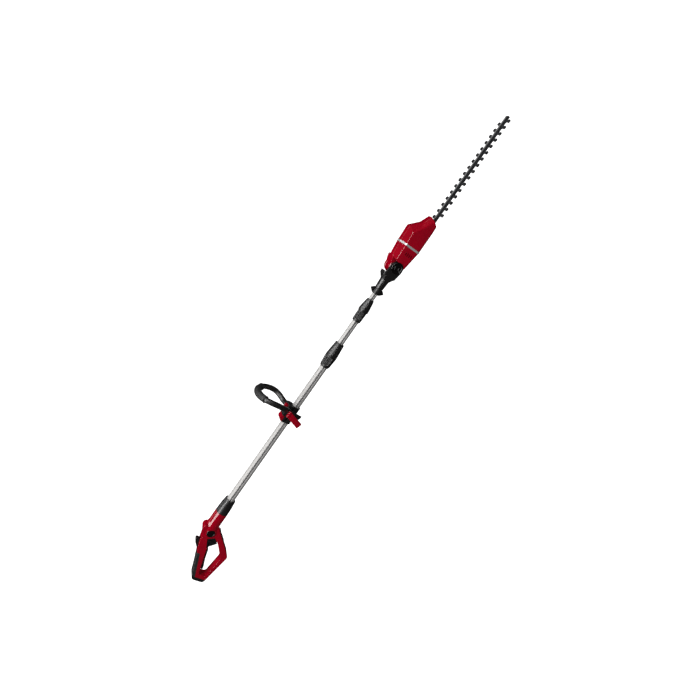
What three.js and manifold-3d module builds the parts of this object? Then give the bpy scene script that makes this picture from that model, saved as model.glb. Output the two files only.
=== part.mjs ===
// A cordless pole hedge trimmer: loop handle with battery dock, three telescoping tubes with twist locks,
// a sliding loop handle, and a tilting cutter head with two reciprocating blades.
// Lengths are millimetres. Inside the tool group X runs along the pole from the mouth of the handle's collar
// towards the blade tip, Y is across the tool and Z = 0 is the pole's axis.
import * as THREE from "three";
import { mergeVertices } from "three/addons/utils/BufferGeometryUtils.js";
import Module from "manifold-3d";

const wasm = await Module();
wasm.setup();

// Fits
const GAP = 0.3; // between pieces that touch or slide

// Pole tubes, nested from the outside in
const TUBE_WALL = 1.5;
const OUTER_R = 14;
const MIDDLE_R = OUTER_R - TUBE_WALL - GAP;
const INNER_R = MIDDLE_R - TUBE_WALL - GAP;
const OUTER_TUBE = { rear: -100, front: 634 };
const MIDDLE_TUBE = { rear: 150, front: 831 };
const INNER_TUBE = { rear: 260, front: 960 };
const LEAD = { radius: 7, rear: 300, front: 900 };

// Rear handle
const HANDLE_HALF = 17; // half thickness of the loop
const HANDLE_EDGE = 4; // rounding of the loop's edges
const SOCKET = { rear: -152, shoulder: -116, front: -47, radius: 23.5 };
const COLLAR = { rear: SOCKET.front + GAP, front: 8, radius: 19.6 };
const DISC = { x: -126, z: -5, radius: 14.5, boss: 18.5, face: 20, depth: 3, clear: 30 };
const CAP_X = -302; // the rear cap starts here
const TRIGGER = { x: -188, z: -29, half: 8, hub: 5 };
const LOCK_OFF = { x: -172, z: 4, half: 6, hub: 5 };
const POCKET_HALF = 12.5; // half width of the hollows in the handle
const DOCK = { foot: [-189, -114.5], head: [-110, -31.5], half: 12.5, start: 8, end: 106 };

// Loop handle on its clamp
const CLAMP = { rear: 350, front: 417, liner: 15.3, strap: 17.8, split: 12 };
const SADDLE_HALF = 20.5;
const BOLT = { x: 398, z: 30, radius: 3, reach: 48, nut: 6 };
const LOOP = { radius: 9.4, grip: 12.6, grip_bore: 10.5 };
const LEVER = { y: -55.5, radius: 6.5, half: 10.2, length: 62, tilt: 0.36 };

// Twist locks: rear end, split line and front end of each
const REAR_LOCK = { rear: 592, split: 637, front: 693 };
const FRONT_LOCK = { rear: 791, split: 834, front: 886 };

// Neck and tilt joint
const WINGS = { rear: 911, front: 936, tip: 30, half: 6 };
const NECK = { rear: 936 + GAP, waist: 972, shoulder: 989, front: 1001, half: 28.5 };
const PIVOT = { x: 1031, arm: 26.5, hub: 26.5, ring: 28.8, bolt: 5 };
const ARM = { outer: -30, inner: -18.3 };
const BUTTON = { radius: 21.5, outer: -28.4, inner: -25.2, floor: -22 };

// Cutter head
const HEAD_WALL = 3;
const BAND = { rear: 1115.4, front: 1122.8 };
const MOTOR = { radius: 19, rear: 1066, front: 1111, z: 5 };
const GEAR = { x: 1160, radius: 20, teeth: 32, top: -0.4, root: -3.4, bottom: -8 };
const PINION = { teeth: 8, tip: 5.5, root: 3.6, rear: 1134, front: 1146, z: MOTOR.z - 1 };
const TOOTH_WIDTH = 1.2;
const CRANK = { throw: 6.5, pin: 2.5, disc: 12, top: -21, bottom: -24 };

// Cutter bar
const BLADE = { pitch: 27.6, teeth: 16, first: 1279, stagger: -13.8, spine: 13.5, tip: 33, thick: 2.2 };
const TOOTH = { root: 7.5, neck: 4.4, neckAt: 23, head: 5.6, crown: 3.2 }; // half widths; where the neck is
const UPPER_TOP = -26.3;
const LOWER_TOP = UPPER_TOP - BLADE.thick - GAP;
const BAR = { rear: 1196, front: 1712, half: 7.5, bottom: UPPER_TOP + GAP, height: 6.5 };
const BLADE_BOLTS = [1293, 1417, 1541, 1665];
const BLADE_BOLT = { shank: 2.7, head: 5.5, thick: 2.5 };
const STROKE = 6.5;
const TIP_X = 1715;

// ---------------------------------------------------------------- solids

function triangleList(geometry) {
  const bare = geometry.clone();
  bare.deleteAttribute("normal");
  bare.deleteAttribute("uv");
  const merged = mergeVertices(bare, 1e-4);
  const index = merged.index.array;
  const kept = [];
  for (let i = 0; i < index.length; i += 3) {
    const [a, b, c] = [index[i], index[i + 1], index[i + 2]];
    if (a !== b && b !== c && c !== a) kept.push(a, b, c);
  }
  return { position: merged.attributes.position.array, kept };
}

function signedVolume(position, kept) {
  const corner = (i) => new THREE.Vector3().fromArray(position, 3 * i);
  let volume = 0;
  for (let i = 0; i < kept.length; i += 3) {
    const [a, b, c] = [corner(kept[i]), corner(kept[i + 1]), corner(kept[i + 2])];
    volume += a.dot(b.cross(c)) / 6;
  }
  return volume;
}

// A closed geometry as a solid, with its faces pointing out
function solid(geometry) {
  const { position, kept } = triangleList(geometry);
  if (signedVolume(position, kept) < 0) {
    for (let i = 0; i < kept.length; i += 3) {
      [kept[i + 1], kept[i + 2]] = [kept[i + 2], kept[i + 1]];
    }
  }
  const vertProperties = new Float32Array(position);
  return new wasm.Manifold(new wasm.Mesh({ numProp: 3, vertProperties, triVerts: new Uint32Array(kept) }));
}

function joined(...pieces) {
  return pieces.reduce((all, piece) => all.add(piece));
}

function without(body, ...cuts) {
  return cuts.reduce((left, cut) => left.subtract(cut), body);
}

function block(x0, x1, y0, y1, z0, z1) {
  const geometry = new THREE.BoxGeometry(x1 - x0, y1 - y0, z1 - z0);
  return solid(geometry.translate((x0 + x1) / 2, (y0 + y1) / 2, (z0 + z1) / 2));
}

function rodX(radius, x0, x1, y = 0, z = 0, sides = 24) {
  const geometry = new THREE.CylinderGeometry(radius, radius, x1 - x0, sides);
  return solid(geometry.rotateZ(-Math.PI / 2).translate((x0 + x1) / 2, y, z));
}

function rodY(radius, y0, y1, x, z, sides = 24) {
  return solid(new THREE.CylinderGeometry(radius, radius, y1 - y0, sides).translate(x, (y0 + y1) / 2, z));
}

function rodZ(radius, z0, z1, x, y = 0, sides = 24) {
  const geometry = new THREE.CylinderGeometry(radius, radius, z1 - z0, sides);
  return solid(geometry.rotateX(Math.PI / 2).translate(x, y, (z0 + z1) / 2));
}

// A closed profile of [x, radius] points turned around the X axis
function turnedX(profile, sides = 32) {
  const points = [...profile, profile[0]].map(([x, r]) => new THREE.Vector2(r, x));
  return solid(new THREE.LatheGeometry(points, sides).rotateZ(-Math.PI / 2));
}

function centreOf(points) {
  const sum = points.reduce((total, point) => total.add(new THREE.Vector2(...point)), new THREE.Vector2());
  return sum.divideScalar(points.length);
}

// An outline with its corners rounded; a corner may name its own radius as a third number
function outline(points, radius = 0) {
  const shape = new THREE.Shape();
  const count = points.length;
  points.forEach((point, i) => {
    const corner = new THREE.Vector2(point[0], point[1]);
    const before = new THREE.Vector2(...points[(i + count - 1) % count].slice(0, 2));
    const after = new THREE.Vector2(...points[(i + 1) % count].slice(0, 2));
    const reach = Math.min(point[2] ?? radius, corner.distanceTo(before) / 2.1, corner.distanceTo(after) / 2.1);
    const start = before.sub(corner).setLength(reach).add(corner);
    const end = after.sub(corner).setLength(reach).add(corner);
    if (i === 0) shape.moveTo(start.x, start.y);
    else shape.lineTo(start.x, start.y);
    if (reach > 0) shape.quadraticCurveTo(corner.x, corner.y, end.x, end.y);
  });
  shape.closePath();
  return shape;
}

// A side outline in X and Z, extruded across Y; edge rounds its rims
function slabY(shape, y0, y1, edge = 0, segments = 3) {
  const settings = {
    depth: y1 - y0 - 2 * edge,
    curveSegments: edge > 0 ? 1 : segments,
    bevelEnabled: edge > 0,
    bevelThickness: edge,
    bevelSize: edge,
    bevelOffset: -edge,
    bevelSegments: 2,
  };
  return solid(new THREE.ExtrudeGeometry(shape, settings).rotateX(Math.PI / 2).translate(0, y1 - edge, 0));
}

// A plan outline in X and Y, extruded up
function slabZ(shape, z0, z1, segments = 3) {
  const settings = { depth: z1 - z0, curveSegments: segments, bevelEnabled: false };
  return solid(new THREE.ExtrudeGeometry(shape, settings).translate(0, 0, z0));
}

// Rings of corner points, skinned one to the next and capped at both ends
function loft(rings) {
  const sides = rings[0].length;
  const corners = rings.flat();
  const faces = [];
  for (let ring = 0; ring + 1 < rings.length; ring += 1) {
    for (let side = 0; side < sides; side += 1) {
      const next = (side + 1) % sides;
      const [a, b] = [ring * sides + side, ring * sides + next];
      faces.push(a, b, b + sides, a, b + sides, a + sides);
    }
  }
  const last = (rings.length - 1) * sides;
  for (let side = 1; side + 1 < sides; side += 1) {
    faces.push(0, side + 1, side, last, last + side, last + side + 1);
  }
  const geometry = new THREE.BufferGeometry();
  geometry.setAttribute("position", new THREE.Float32BufferAttribute(corners.flat(), 3));
  geometry.setIndex(faces);
  return solid(geometry);
}

// ---------------------------------------------------------------- materials and nodes

const tool = new THREE.Group();

const FINISH = {
  red: [0xa3081f, 0.35, 0],
  black: [0x232122, 0.55, 0],
  soft: [0x1b1a1a, 0.85, 0],
  grey: [0x434343, 0.5, 0],
  tube: [0xd0cecb, 0.3, 1],
  steel: [0x8d8f92, 0.35, 1],
  blade: [0x3a3b3d, 0.4, 1],
  silver: [0xdcd9d8, 0.25, 1],
  board: [0x1d5a35, 0.6, 0],
};

function node(name, body, finish) {
  const { vertProperties, triVerts } = body.getMesh();
  const geometry = new THREE.BufferGeometry();
  geometry.setAttribute("position", new THREE.BufferAttribute(vertProperties, 3));
  geometry.setIndex(new THREE.BufferAttribute(triVerts, 1));
  geometry.computeVertexNormals();
  const [color, roughness, metalness] = FINISH[finish];
  const mesh = new THREE.Mesh(geometry, new THREE.MeshStandardMaterial({ color, roughness, metalness }));
  mesh.name = name;
  tool.add(mesh);
}

// ---------------------------------------------------------------- rear handle

const HANDLE_OUTLINE = [
  [-90, 20], [-101, 22.5], [-109, 31.5], [-119, 32], [-142, 18], [-180, 8.5], [-263, -26],
  [-303, -41], [-313, -49], [-315, -56], [-315, -91], [-309, -96.5], [-200, -119], [-193, -118], [-186, -112],
  [-110, -32], [-98, -20], [-90, -18],
];
const LOOP_HOLE = [
  [-284, -59.5], [-288, -64], [-288, -85], [-283, -89.5], [-215, -98], [-206, -96], [-157, -54],
  [-145, -38], [-149, -19], [-182, -27],
];
const INSERT_REGION = [[-184, -24], [-151, -7], [-139, -31], [-144.5, -39], [-158, -52.5], [-163, -47]];
const INSERT = { half: 15.6, fit: 0.97 };
const GRIP_REGION = [[-212, 20], [-212, -14], [CAP_X, -49], [CAP_X, 20]];

function handleBlank() {
  const shape = outline(HANDLE_OUTLINE);
  shape.holes.push(outline(LOOP_HOLE));
  return slabY(shape, -HANDLE_HALF, HANDLE_HALF, HANDLE_EDGE);
}

// A point of the battery dock: s along the front leg from its foot, n out of the leg's face
function dockPoint(s, n) {
  const foot = new THREE.Vector2(...DOCK.foot);
  const along = new THREE.Vector2(...DOCK.head).sub(foot).normalize();
  return [foot.x + s * along.x + n * along.y, foot.y + s * along.y - n * along.x];
}

function dockBlock(s0, s1, n0, n1, half, grow = 0) {
  const [a, b, c, d] = [s0 - grow, s1 + grow, n0 - grow, n1 + grow];
  const corners = [dockPoint(a, c), dockPoint(b, c), dockPoint(b, d), dockPoint(a, d)];
  return slabY(outline(corners), -half - grow, half + grow);
}

function handleHollows() {
  const grip = [[-178, -3], [-212, -18], [-284, -48], [-284, -58], [-190, -31], [-172, -22], [-158, -12]];
  const hub = [[-172, 0], [-142, 12], [-120, 25], [-112, 12], [-112, -14], [-124, -26], [-141, -14], [-172, -22]];
  const leg = [[-126, -22], [-119, -34], [-190, -107], [-200, -101], [-146, -54], [-139, -37], [-141, -20]];
  return joined(
    slabY(outline(grip), -POCKET_HALF, POCKET_HALF),
    slabY(outline(hub), -POCKET_HALF, POCKET_HALF),
    slabY(outline(leg), -POCKET_HALF, POCKET_HALF),
    rodX(9, -130, OUTER_TUBE.rear),
  );
}

function handleCuts() {
  const triggerSlot = [[-183, -24], [-276, -50], [-276, -66], [-183, -44]];
  const lockSlot = [[-206, -10], [-206, 8], [-196, 30], [-158, 34], [-158, 2]];
  const side = TRIGGER.half + 2 * GAP;
  return [
    handleHollows(),
    slabY(outline(triggerSlot), -side, side),
    slabY(outline(lockSlot), -LOCK_OFF.half - 2 * GAP, LOCK_OFF.half + 2 * GAP),
    rodX(OUTER_R + GAP, OUTER_TUBE.rear - GAP, SOCKET.front + 1),
    rodY(DISC.radius + GAP, DISC.face - DISC.depth, DISC.clear, DISC.x, DISC.z),
    rodY(DISC.radius + GAP, -DISC.clear, -DISC.face + DISC.depth, DISC.x, DISC.z),
    rodY(2.3, -14, 14, TRIGGER.x, TRIGGER.z, 12),
    rodY(2.3, -14, 14, LOCK_OFF.x, LOCK_OFF.z, 12),
    dockBlock(DOCK.start, DOCK.end, -4, 8, DOCK.half, GAP),
    slabY(outline(INSERT_REGION), -40, 40),
    block(-340, CAP_X + GAP, -40, 40, -110, -20),
    slabY(outline(GRIP_REGION.map(([x, z]) => [x + (x > -300 ? GAP : 0), z - GAP])), -40, 40),
  ];
}

function addHandleShells() {
  const socket = turnedX([
    [SOCKET.rear, 0], [SOCKET.rear, 12], [SOCKET.shoulder, SOCKET.radius], [SOCKET.front, SOCKET.radius],
    [SOCKET.front, 0],
  ]);
  const boss = rodY(DISC.boss, -DISC.face, DISC.face, DISC.x, DISC.z, 32);
  const whole = without(joined(handleBlank(), socket, boss), ...handleCuts());
  const left = block(-400, 100, GAP / 2, 60, -200, 100);
  const right = block(-400, 100, -60, -GAP / 2, -200, 100);
  node("handle_shell_left", whole.intersect(left), "red");
  node("handle_shell_right", whole.intersect(right), "red");
}

function addHandleTrim() {
  const blank = handleBlank();
  const cap = blank.intersect(block(-340, CAP_X, -40, 40, -110, -20));
  node("rear_foot_cap", cap, "black");
  const grip = blank.intersect(slabY(outline(GRIP_REGION.map(([x, z]) => [x < -300 ? x + GAP : x, z])), -40, 40));
  node("grip_cover", grip, "soft");
  for (const [name, side] of [["side_disc_left", 1], ["side_disc_right", -1]]) {
    const [near, far] = [side * (DISC.face - DISC.depth + GAP), side * (DISC.face + 0.6)];
    node(name, rodY(DISC.radius, Math.min(near, far), Math.max(near, far), DISC.x, DISC.z), "black");
  }
}

// The black insert at the apex of the loop: two cheeks joined below the switch
function addApexInsert() {
  const middle = centreOf(INSERT_REGION);
  const drawnIn = INSERT_REGION.map(([x, z]) => [
    middle.x + INSERT.fit * (x - middle.x),
    middle.y + INSERT.fit * (z - middle.y),
  ]);
  const cheeks = slabY(outline(drawnIn, 1.5), -INSERT.half, INSERT.half);
  const switchRoom = block(-172, -130, -POCKET_HALF + 1, POCKET_HALF - 1, -18, 0);
  node("apex_insert", cheeks.subtract(switchRoom), "black");
}

function addCollar() {
  node("tube_collar", turnedX([
    [COLLAR.rear, OUTER_R + GAP], [COLLAR.rear, 23.3], [-20, 22.4], [-6, 20.6], [-3, 20.9],
    [COLLAR.front, COLLAR.radius], [COLLAR.front, 17.6], [2, 16.6], [2, OUTER_R + GAP],
  ]), "black");
}

function addTrigger() {
  const lever = [
    [-186, -24, 2], [-183, -33, 3], [-194, -40, 3], [-230, -50.5, 8], [-258, -63, 6], [-271, -66.5, 3],
    [-272.5, -59, 3], [-258, -51, 4], [-226, -37, 4], [-200, -27, 3],
  ];
  const hub = rodY(TRIGGER.hub, -TRIGGER.half, TRIGGER.half, TRIGGER.x, TRIGGER.z, 16);
  const blank = joined(slabY(outline(lever), -TRIGGER.half, TRIGGER.half), hub);
  const bore = rodY(2 + GAP, -20, 20, TRIGGER.x, TRIGGER.z, 12);
  node("trigger", blank.subtract(bore), "black");
  node("trigger_pin", rodY(2, -13.7, 13.7, TRIGGER.x, TRIGGER.z, 12), "steel");
}

function addLockOff() {
  const fin = [[-200, 1], [-199, 5], [-184, 19.5], [-170, 27.5], [-165.5, 26], [-164.5, 21], [-168, 3]];
  const hub = rodY(LOCK_OFF.hub, -LOCK_OFF.half, LOCK_OFF.half, LOCK_OFF.x, LOCK_OFF.z, 16);
  const blank = joined(slabY(outline(fin), -LOCK_OFF.half, LOCK_OFF.half, 1.5), hub);
  const bore = rodY(2 + GAP, -20, 20, LOCK_OFF.x, LOCK_OFF.z, 12);
  node("lock_off_button", blank.subtract(bore), "black");
  node("lock_off_pin", rodY(2, -13.7, 13.7, LOCK_OFF.x, LOCK_OFF.z, 12), "steel");
}

function addHandleInsides() {
  node("main_switch", block(-158, -139, -9, -1, -12, 4), "black");
  node("control_board", block(-154, -114, 5, 6.6, -14, 6), "board");
}

function addBatteryDock() {
  const half = DOCK.half;
  const base = dockBlock(DOCK.start, DOCK.end, -4, -1.4, half);
  const rail = dockBlock(DOCK.start + 4, DOCK.end, -1.6, 0.2, half - 3.5);
  const lips = dockBlock(DOCK.start + 4, DOCK.end, 0, 1.6, half - 1.5);
  const stop = dockBlock(DOCK.end - 7, DOCK.end, -1.6, 3.2, half);
  const pocket = dockBlock(58, 84, -2.6, 6, 7, GAP);
  const latch = dockBlock(22, 30, 0.2, 6, 5);
  node("battery_dock", without(joined(base, rail, lips, stop), pocket, latch), "black");
  const slots = [-4.5, 0, 4.5].map((y) => {
    const corners = [dockPoint(56, -1), dockPoint(80, -1), dockPoint(80, 6), dockPoint(56, 6)];
    return slabY(outline(corners), y - 0.6, y + 0.6);
  });
  node("dock_contacts", without(dockBlock(58, 84, -2.6, 3, 7), ...slots), "grey");
}

// ---------------------------------------------------------------- pole

function addTube(name, radius, { rear, front }) {
  const bore = radius - TUBE_WALL;
  node(name, turnedX([[rear, bore], [rear, radius], [front, radius], [front, bore]], 40), "tube");
}

function collet(rear, front, bore, radius) {
  const taper = 11;
  const ring = turnedX([[rear, bore], [rear, radius], [front - taper, radius], [front, radius - 1.8], [front, bore]]);
  return ring.subtract(block(rear - 1, front + 1, 0, 40, -0.8, 0.8));
}

function addRearLock() {
  const { rear, split, front } = REAR_LOCK;
  const bore = OUTER_R + GAP;
  node("rear_lock_body", turnedX([
    [rear, bore], [rear, 16.5], [rear + 6, 18.6], [split - 14, 21.4], [split, 22], [split, 16.2],
    [OUTER_TUBE.front + GAP, 16.2], [OUTER_TUBE.front + GAP, bore],
  ]), "black");
  const grip = MIDDLE_R + GAP;
  node("rear_lock_collet", collet(OUTER_TUBE.front + 2 * GAP, split + 44, grip, 15.8), "grey");
  node("rear_lock_nut", turnedX([
    [split + GAP, 16.2], [split + GAP, 21.8], [split + 16, 21.4], [front - 12, 18.6], [front, 17.4],
    [front, 15.2], [front - 5, 12.9], [split + 45, 14.4], [split + 33, 16.2],
  ]), "black");
}

function addFrontLock() {
  const { rear, split, front } = FRONT_LOCK;
  const bore = MIDDLE_R + GAP;
  node("front_lock_body", turnedX([
    [rear, bore], [rear, 15.3], [rear + 6, 16.4], [split - 4, 17.4], [split, 17.2], [split, 14.4],
    [MIDDLE_TUBE.front + GAP, 14.4], [MIDDLE_TUBE.front + GAP, bore],
  ]), "black");
  const grip = INNER_R + GAP;
  node("front_lock_collet", collet(MIDDLE_TUBE.front + 2 * GAP, split + 39, grip, 14), "grey");
  node("front_lock_nut", turnedX([
    [split + GAP, 14.4], [split + GAP, 19.6], [split + 3, 20], [split + 16, 19], [front - 4, 14.2],
    [front, 13.4], [front, 11.8], [front - 4, 11], [split + 40, 12.7], [split + 29, 14.4],
  ]), "black");
}

// ---------------------------------------------------------------- loop handle

// The loop's centre line on its far side, from foot to apex, as [along, across, up]
const LOOP_HALF = [
  [392, 29, -31], [393, 30, -8], [397, 33, 16], [402, 38.5, 36], [408.5, 54, 53], [412, 65, 70], [413, 67.5, 88],
  [411.5, 65.5, 106], [409.5, 60, 121], [407, 52, 132], [403.5, 28, 147.5],
];
const LOOP_APEX = [402, 0, 152];
const GRIP_START = 9; // the soft sleeve starts at this point of the half

function loopCurve(half) {
  const left = half.map((point) => new THREE.Vector3(...point));
  const right = half.map(([x, y, z]) => new THREE.Vector3(x, -y, z)).reverse();
  return new THREE.CatmullRomCurve3([...left, new THREE.Vector3(...LOOP_APEX), ...right]);
}

function ring(radius, bore, sides) {
  const shape = new THREE.Shape().absarc(0, 0, radius, 0, 2 * Math.PI);
  if (bore) shape.holes.push(new THREE.Path().absarc(0, 0, bore, 0, 2 * Math.PI));
  const spaced = new THREE.Shape(shape.getSpacedPoints(sides).slice(0, -1));
  spaced.holes = shape.holes.map((hole) => new THREE.Path(hole.getSpacedPoints(sides).slice(0, -1)));
  return spaced;
}

function swept(section, curve, steps) {
  return solid(new THREE.ExtrudeGeometry(section, { steps, bevelEnabled: false, extrudePath: curve }));
}

function addLoopHandle() {
  const bore = rodY(BOLT.radius + GAP, -80, 80, BOLT.x, BOLT.z, 16);
  const toe = slabY(outline([[340, -14], [382, -16], [400, -26], [430, -60], [340, -60]]), -60, 60);
  const limbs = without(swept(ring(LOOP.radius, 0, 12), loopCurve(LOOP_HALF), 44), bore, toe);
  node("loop_handle", limbs, "black");
  const top = loopCurve(LOOP_HALF.slice(GRIP_START));
  node("loop_grip", swept(ring(LOOP.grip, LOOP.grip_bore, 12), top, 14), "soft");
}

function addClamp() {
  const { rear, front, liner, strap, split } = CLAMP;
  const slit = block(rear, front, -1, 1, -30, 0);
  const bush = turnedX([[rear + 2, OUTER_R + 0.25], [rear + 2, liner], [front - 2, liner], [front - 2, OUTER_R + 0.25]]);
  node("clamp_liner", bush.subtract(slit), "grey");
  const hoop = turnedX([[rear, liner + GAP], [rear, strap], [front, strap], [front, liner + GAP]]);
  node("lower_clamp", hoop.intersect(block(rear, front, -30, 30, -30, split)), "black");
  const profile = [
    [rear, split + GAP], [rear - 0.5, 26, 3], [rear + 8, 34, 3], [rear + 22, 31, 4], [rear + 40, 39, 4],
    [front - 3, 39, 3], [front, 27, 2], [front, split + GAP],
  ];
  const saddle = slabY(outline(profile), -SADDLE_HALF, SADDLE_HALF, 2);
  const seat = rodX(liner + GAP, rear - 5, front + 5, 0, 0, 32);
  node("clamp_saddle", without(saddle, seat, rodY(BOLT.radius + GAP, -80, 80, BOLT.x, BOLT.z, 16)), "red");
}

function addCamLever() {
  node("cross_bolt", rodY(BOLT.radius, -BOLT.reach, BOLT.reach, BOLT.x, BOLT.z, 16), "steel");
  node("bolt_nut", rodY(BOLT.nut, BOLT.reach + 1, BOLT.reach + 7, BOLT.x, BOLT.z, 6), "black");
  const { y, radius, half, length, tilt } = LEVER;
  const head = rodX(radius, BOLT.x - half, BOLT.x + half, y, BOLT.z, 16);
  const arm = outline([[-half, 4], [-half - 0.8, -length + 6, 3], [-half + 4, -length, 4], [half - 4, -length, 4],
    [half + 0.8, -length + 6, 3], [half, 4]]);
  const blade = slabY(arm, y - 4.5, y + 3, 1.2).rotate([0, THREE.MathUtils.radToDeg(tilt), 0]);
  node("cam_lever", head.add(blade.translate([BOLT.x, 0, BOLT.z])), "red");
}

// ---------------------------------------------------------------- neck and tilt joint

function octagon(x, halfY, halfZ, cut) {
  const [y, z] = [halfY, halfZ];
  return [
    [x, y, -z + cut], [x, y, z - cut], [x, y - cut, z], [x, -y + cut, z],
    [x, -y, z - cut], [x, -y, -z + cut], [x, -y + cut, -z], [x, y - cut, -z],
  ];
}

function addWingCollar() {
  const { rear, front, tip, half } = WINGS;
  const wing = [
    [rear, 0], [rear, 14, 2], [rear + 9, tip - 6, 2], [rear + 13, tip, 1.5], [rear + 17, tip - 5, 2],
    [front - 1, 17, 2], [front - 0.5, 0],
  ];
  const mirrored = wing.map(([x, z, r]) => [x, -z, r]);
  const body = turnedX([[rear, 0], [rear, 12.6], [rear + 3, 14.4], [front, 14.4], [front, 0]]);
  const blank = joined(body, slabY(outline(wing), -half, half, 1.5), slabY(outline(mirrored), -half, half, 1.5));
  node("wing_collar", blank.subtract(rodX(INNER_R + GAP, rear - 1, front + 1)), "black");
}

function addNeck() {
  const { rear, waist, shoulder, front, half } = NECK;
  const shank = loft([
    octagon(rear, 12.5, 13.5, 5), octagon(waist, 14, 15.5, 5), octagon(shoulder, 26, 26.5, 8),
    octagon(front, half, 27.5, 8),
  ]);
  const arm = joined(
    block(shoulder, PIVOT.x, ARM.outer, ARM.inner, -PIVOT.arm, PIVOT.arm),
    rodY(PIVOT.arm, ARM.outer, ARM.inner, PIVOT.x, 0, 40),
  );
  const ribs = [-1, 1].map((side) => block(rear + 4, shoulder - 3, side * 13 - 1.5, side * 13 + 1.5, 2, 6));
  node("neck", without(
    joined(shank, arm, ...ribs),
    rodX(INNER_R + GAP, rear - 1, INNER_TUBE.front + 2),
    rodX(6, INNER_TUBE.front, front + 1),
    rodY(BUTTON.radius + GAP, ARM.outer - 1, BUTTON.floor, PIVOT.x, 0, 32),
    rodY(PIVOT.bolt + GAP, -40, 0, PIVOT.x, 0),
  ), "black");
  node("tilt_button", rodY(BUTTON.radius, BUTTON.outer, BUTTON.inner, PIVOT.x, 0, 32), "black");
}

function addPivot() {
  const shank = rodY(PIVOT.bolt, BUTTON.floor + 0.5, 31, PIVOT.x, 0);
  node("pivot_bolt", shank.add(rodY(9, 30.6, 34, PIVOT.x, 0, 6)), "steel");
  const teeth = 24;
  const points = [];
  for (let i = 0; i < 2 * teeth; i += 1) {
    const radius = i % 2 ? PIVOT.ring : PIVOT.ring - 1.6;
    const angle = (i * Math.PI) / teeth;
    points.push([PIVOT.x + radius * Math.cos(angle), radius * Math.sin(angle)]);
  }
  const wheel = slabY(outline(points), 17.5, 29);
  node("detent_ring", wheel.subtract(rodY(20, 0, 40, PIVOT.x, 0)), "red");
}

// ---------------------------------------------------------------- cutter head

// Corner places along the head: the floor, the side ridge and the crown each have their own X
const HEAD_RINGS = [
  { floor: [1059, -26], ridge: [1059, 25], crown: [1059, 38], half: 36.5 },
  { floor: [1117, -35], ridge: [1117, 28], crown: [1117, 45], half: 38.5 },
  { floor: [1170, -35], ridge: [1165, 32.5], crown: [1183, 48], half: 38.5 },
  { floor: [1206, -35], ridge: [1195, 13.5], crown: [1222, 9.5], half: 38 },
  { floor: [1234, -35], ridge: [1243.5, -14], crown: [1255, -3], half: 35 },
];
const CROWN_HALF = 12;
const FLOOR_EDGE = 6;

// One ring of the head's skin, drawn in by a wall on every side
function headRing({ floor, ridge, crown, half }, wall) {
  const y = half - wall;
  const side = [
    [floor[0], y - FLOOR_EDGE, floor[1] + wall],
    [floor[0], y, floor[1] + FLOOR_EDGE + wall / 2],
    [ridge[0], y, ridge[1] - wall / 2],
    [crown[0], CROWN_HALF - wall / 3, crown[1] - wall],
  ];
  return [...side, ...side.map(([x, across, z]) => [x, -across, z]).reverse()];
}

function headSkin(wall = 0) {
  const rings = HEAD_RINGS.map((entry) => headRing(entry, wall));
  const first = rings[0].map(([x, y, z]) => [x + wall, y, z]);
  const last = rings[rings.length - 1].map(([x, y, z]) => [x - wall, y, z]);
  return loft([first, ...rings.slice(1, -1), last]);
}

function headRear() {
  const root = outline([[PIVOT.x, -26], [PIVOT.x, 26], [1048, 33.5, 6], [1064, 37.5], [1064, -26.5]]);
  return joined(
    headSkin(),
    slabY(root, ARM.inner + GAP, 30, 4),
    rodY(PIVOT.hub, ARM.inner + GAP, 30, PIVOT.x, 0, 40),
  );
}

function addHeadShells() {
  const vents = [0, 1, 2, 3].map((i) => block(1085, 1098, -45, 45, 6.5 - 8 * i, 9.5 - 8 * i));
  const whole = without(
    headRear().intersect(block(1000, BAND.rear - GAP, -60, 60, -60, 60)),
    headSkin(HEAD_WALL),
    block(1048, 1070, -11, 11, -14, 22),
    rodY(PIVOT.bolt + GAP, -40, 40, PIVOT.x, 0),
    tiltRing(PIVOT.ring + GAP, 20 - GAP, 17.5 - GAP, 31),
    rodY(PIVOT.arm + 2, -60, ARM.inner + GAP, PIVOT.x, 0, 40),
    ...vents,
  );
  node("head_shell_left", whole.intersect(block(900, 1300, GAP / 2, 60, -60, 60)), "red");
  node("head_shell_right", whole.intersect(block(900, 1300, -60, -GAP / 2, -60, 60)), "red");
}

// A ring-shaped cut around the tilt axis
function tiltRing(radius, bore, y0, y1) {
  return rodY(radius, y0, y1, PIVOT.x, 0, 40).subtract(rodY(bore, y0 - 1, y1 + 1, PIVOT.x, 0));
}

function addBandAndNose() {
  const band = headSkin(-0.6).subtract(headSkin(HEAD_WALL)).intersect(block(BAND.rear, BAND.front, -60, 60, -60, 60));
  node("silver_band", band, "silver");
  const slot = block(1225, 1270, -21, 21, -31.9, -18.6);
  const nose = without(headSkin(), headSkin(HEAD_WALL), slot);
  node("nose_cover", nose.intersect(block(BAND.front + GAP, 1300, -60, 60, -60, 60)), "red");
}

// ---------------------------------------------------------------- drive

function addMotor() {
  const { radius, rear, front, z } = MOTOR;
  node("motor", joined(rodX(radius, rear, front, 0, z, 32), rodX(6, front - 1, front + 3, 0, z)), "steel");
  const shaft = rodX(2.2, front + 3 + GAP, PINION.front - 1, 0, PINION.z, 12);
  const core = rodX(PINION.root, PINION.rear, PINION.front, 0, PINION.z, 16);
  const teeth = [];
  for (let i = 0; i < PINION.teeth; i += 1) {
    const half = TOOTH_WIDTH / 2;
    const tooth = block(PINION.rear + 1, PINION.front - 1, -half, half, -PINION.tip, -PINION.root + 1);
    teeth.push(tooth.rotate([(360 * i) / PINION.teeth, 0, 0]).translate([0, 0, PINION.z]));
  }
  node("motor_pinion", joined(shaft, core, ...teeth), "steel");
}

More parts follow.
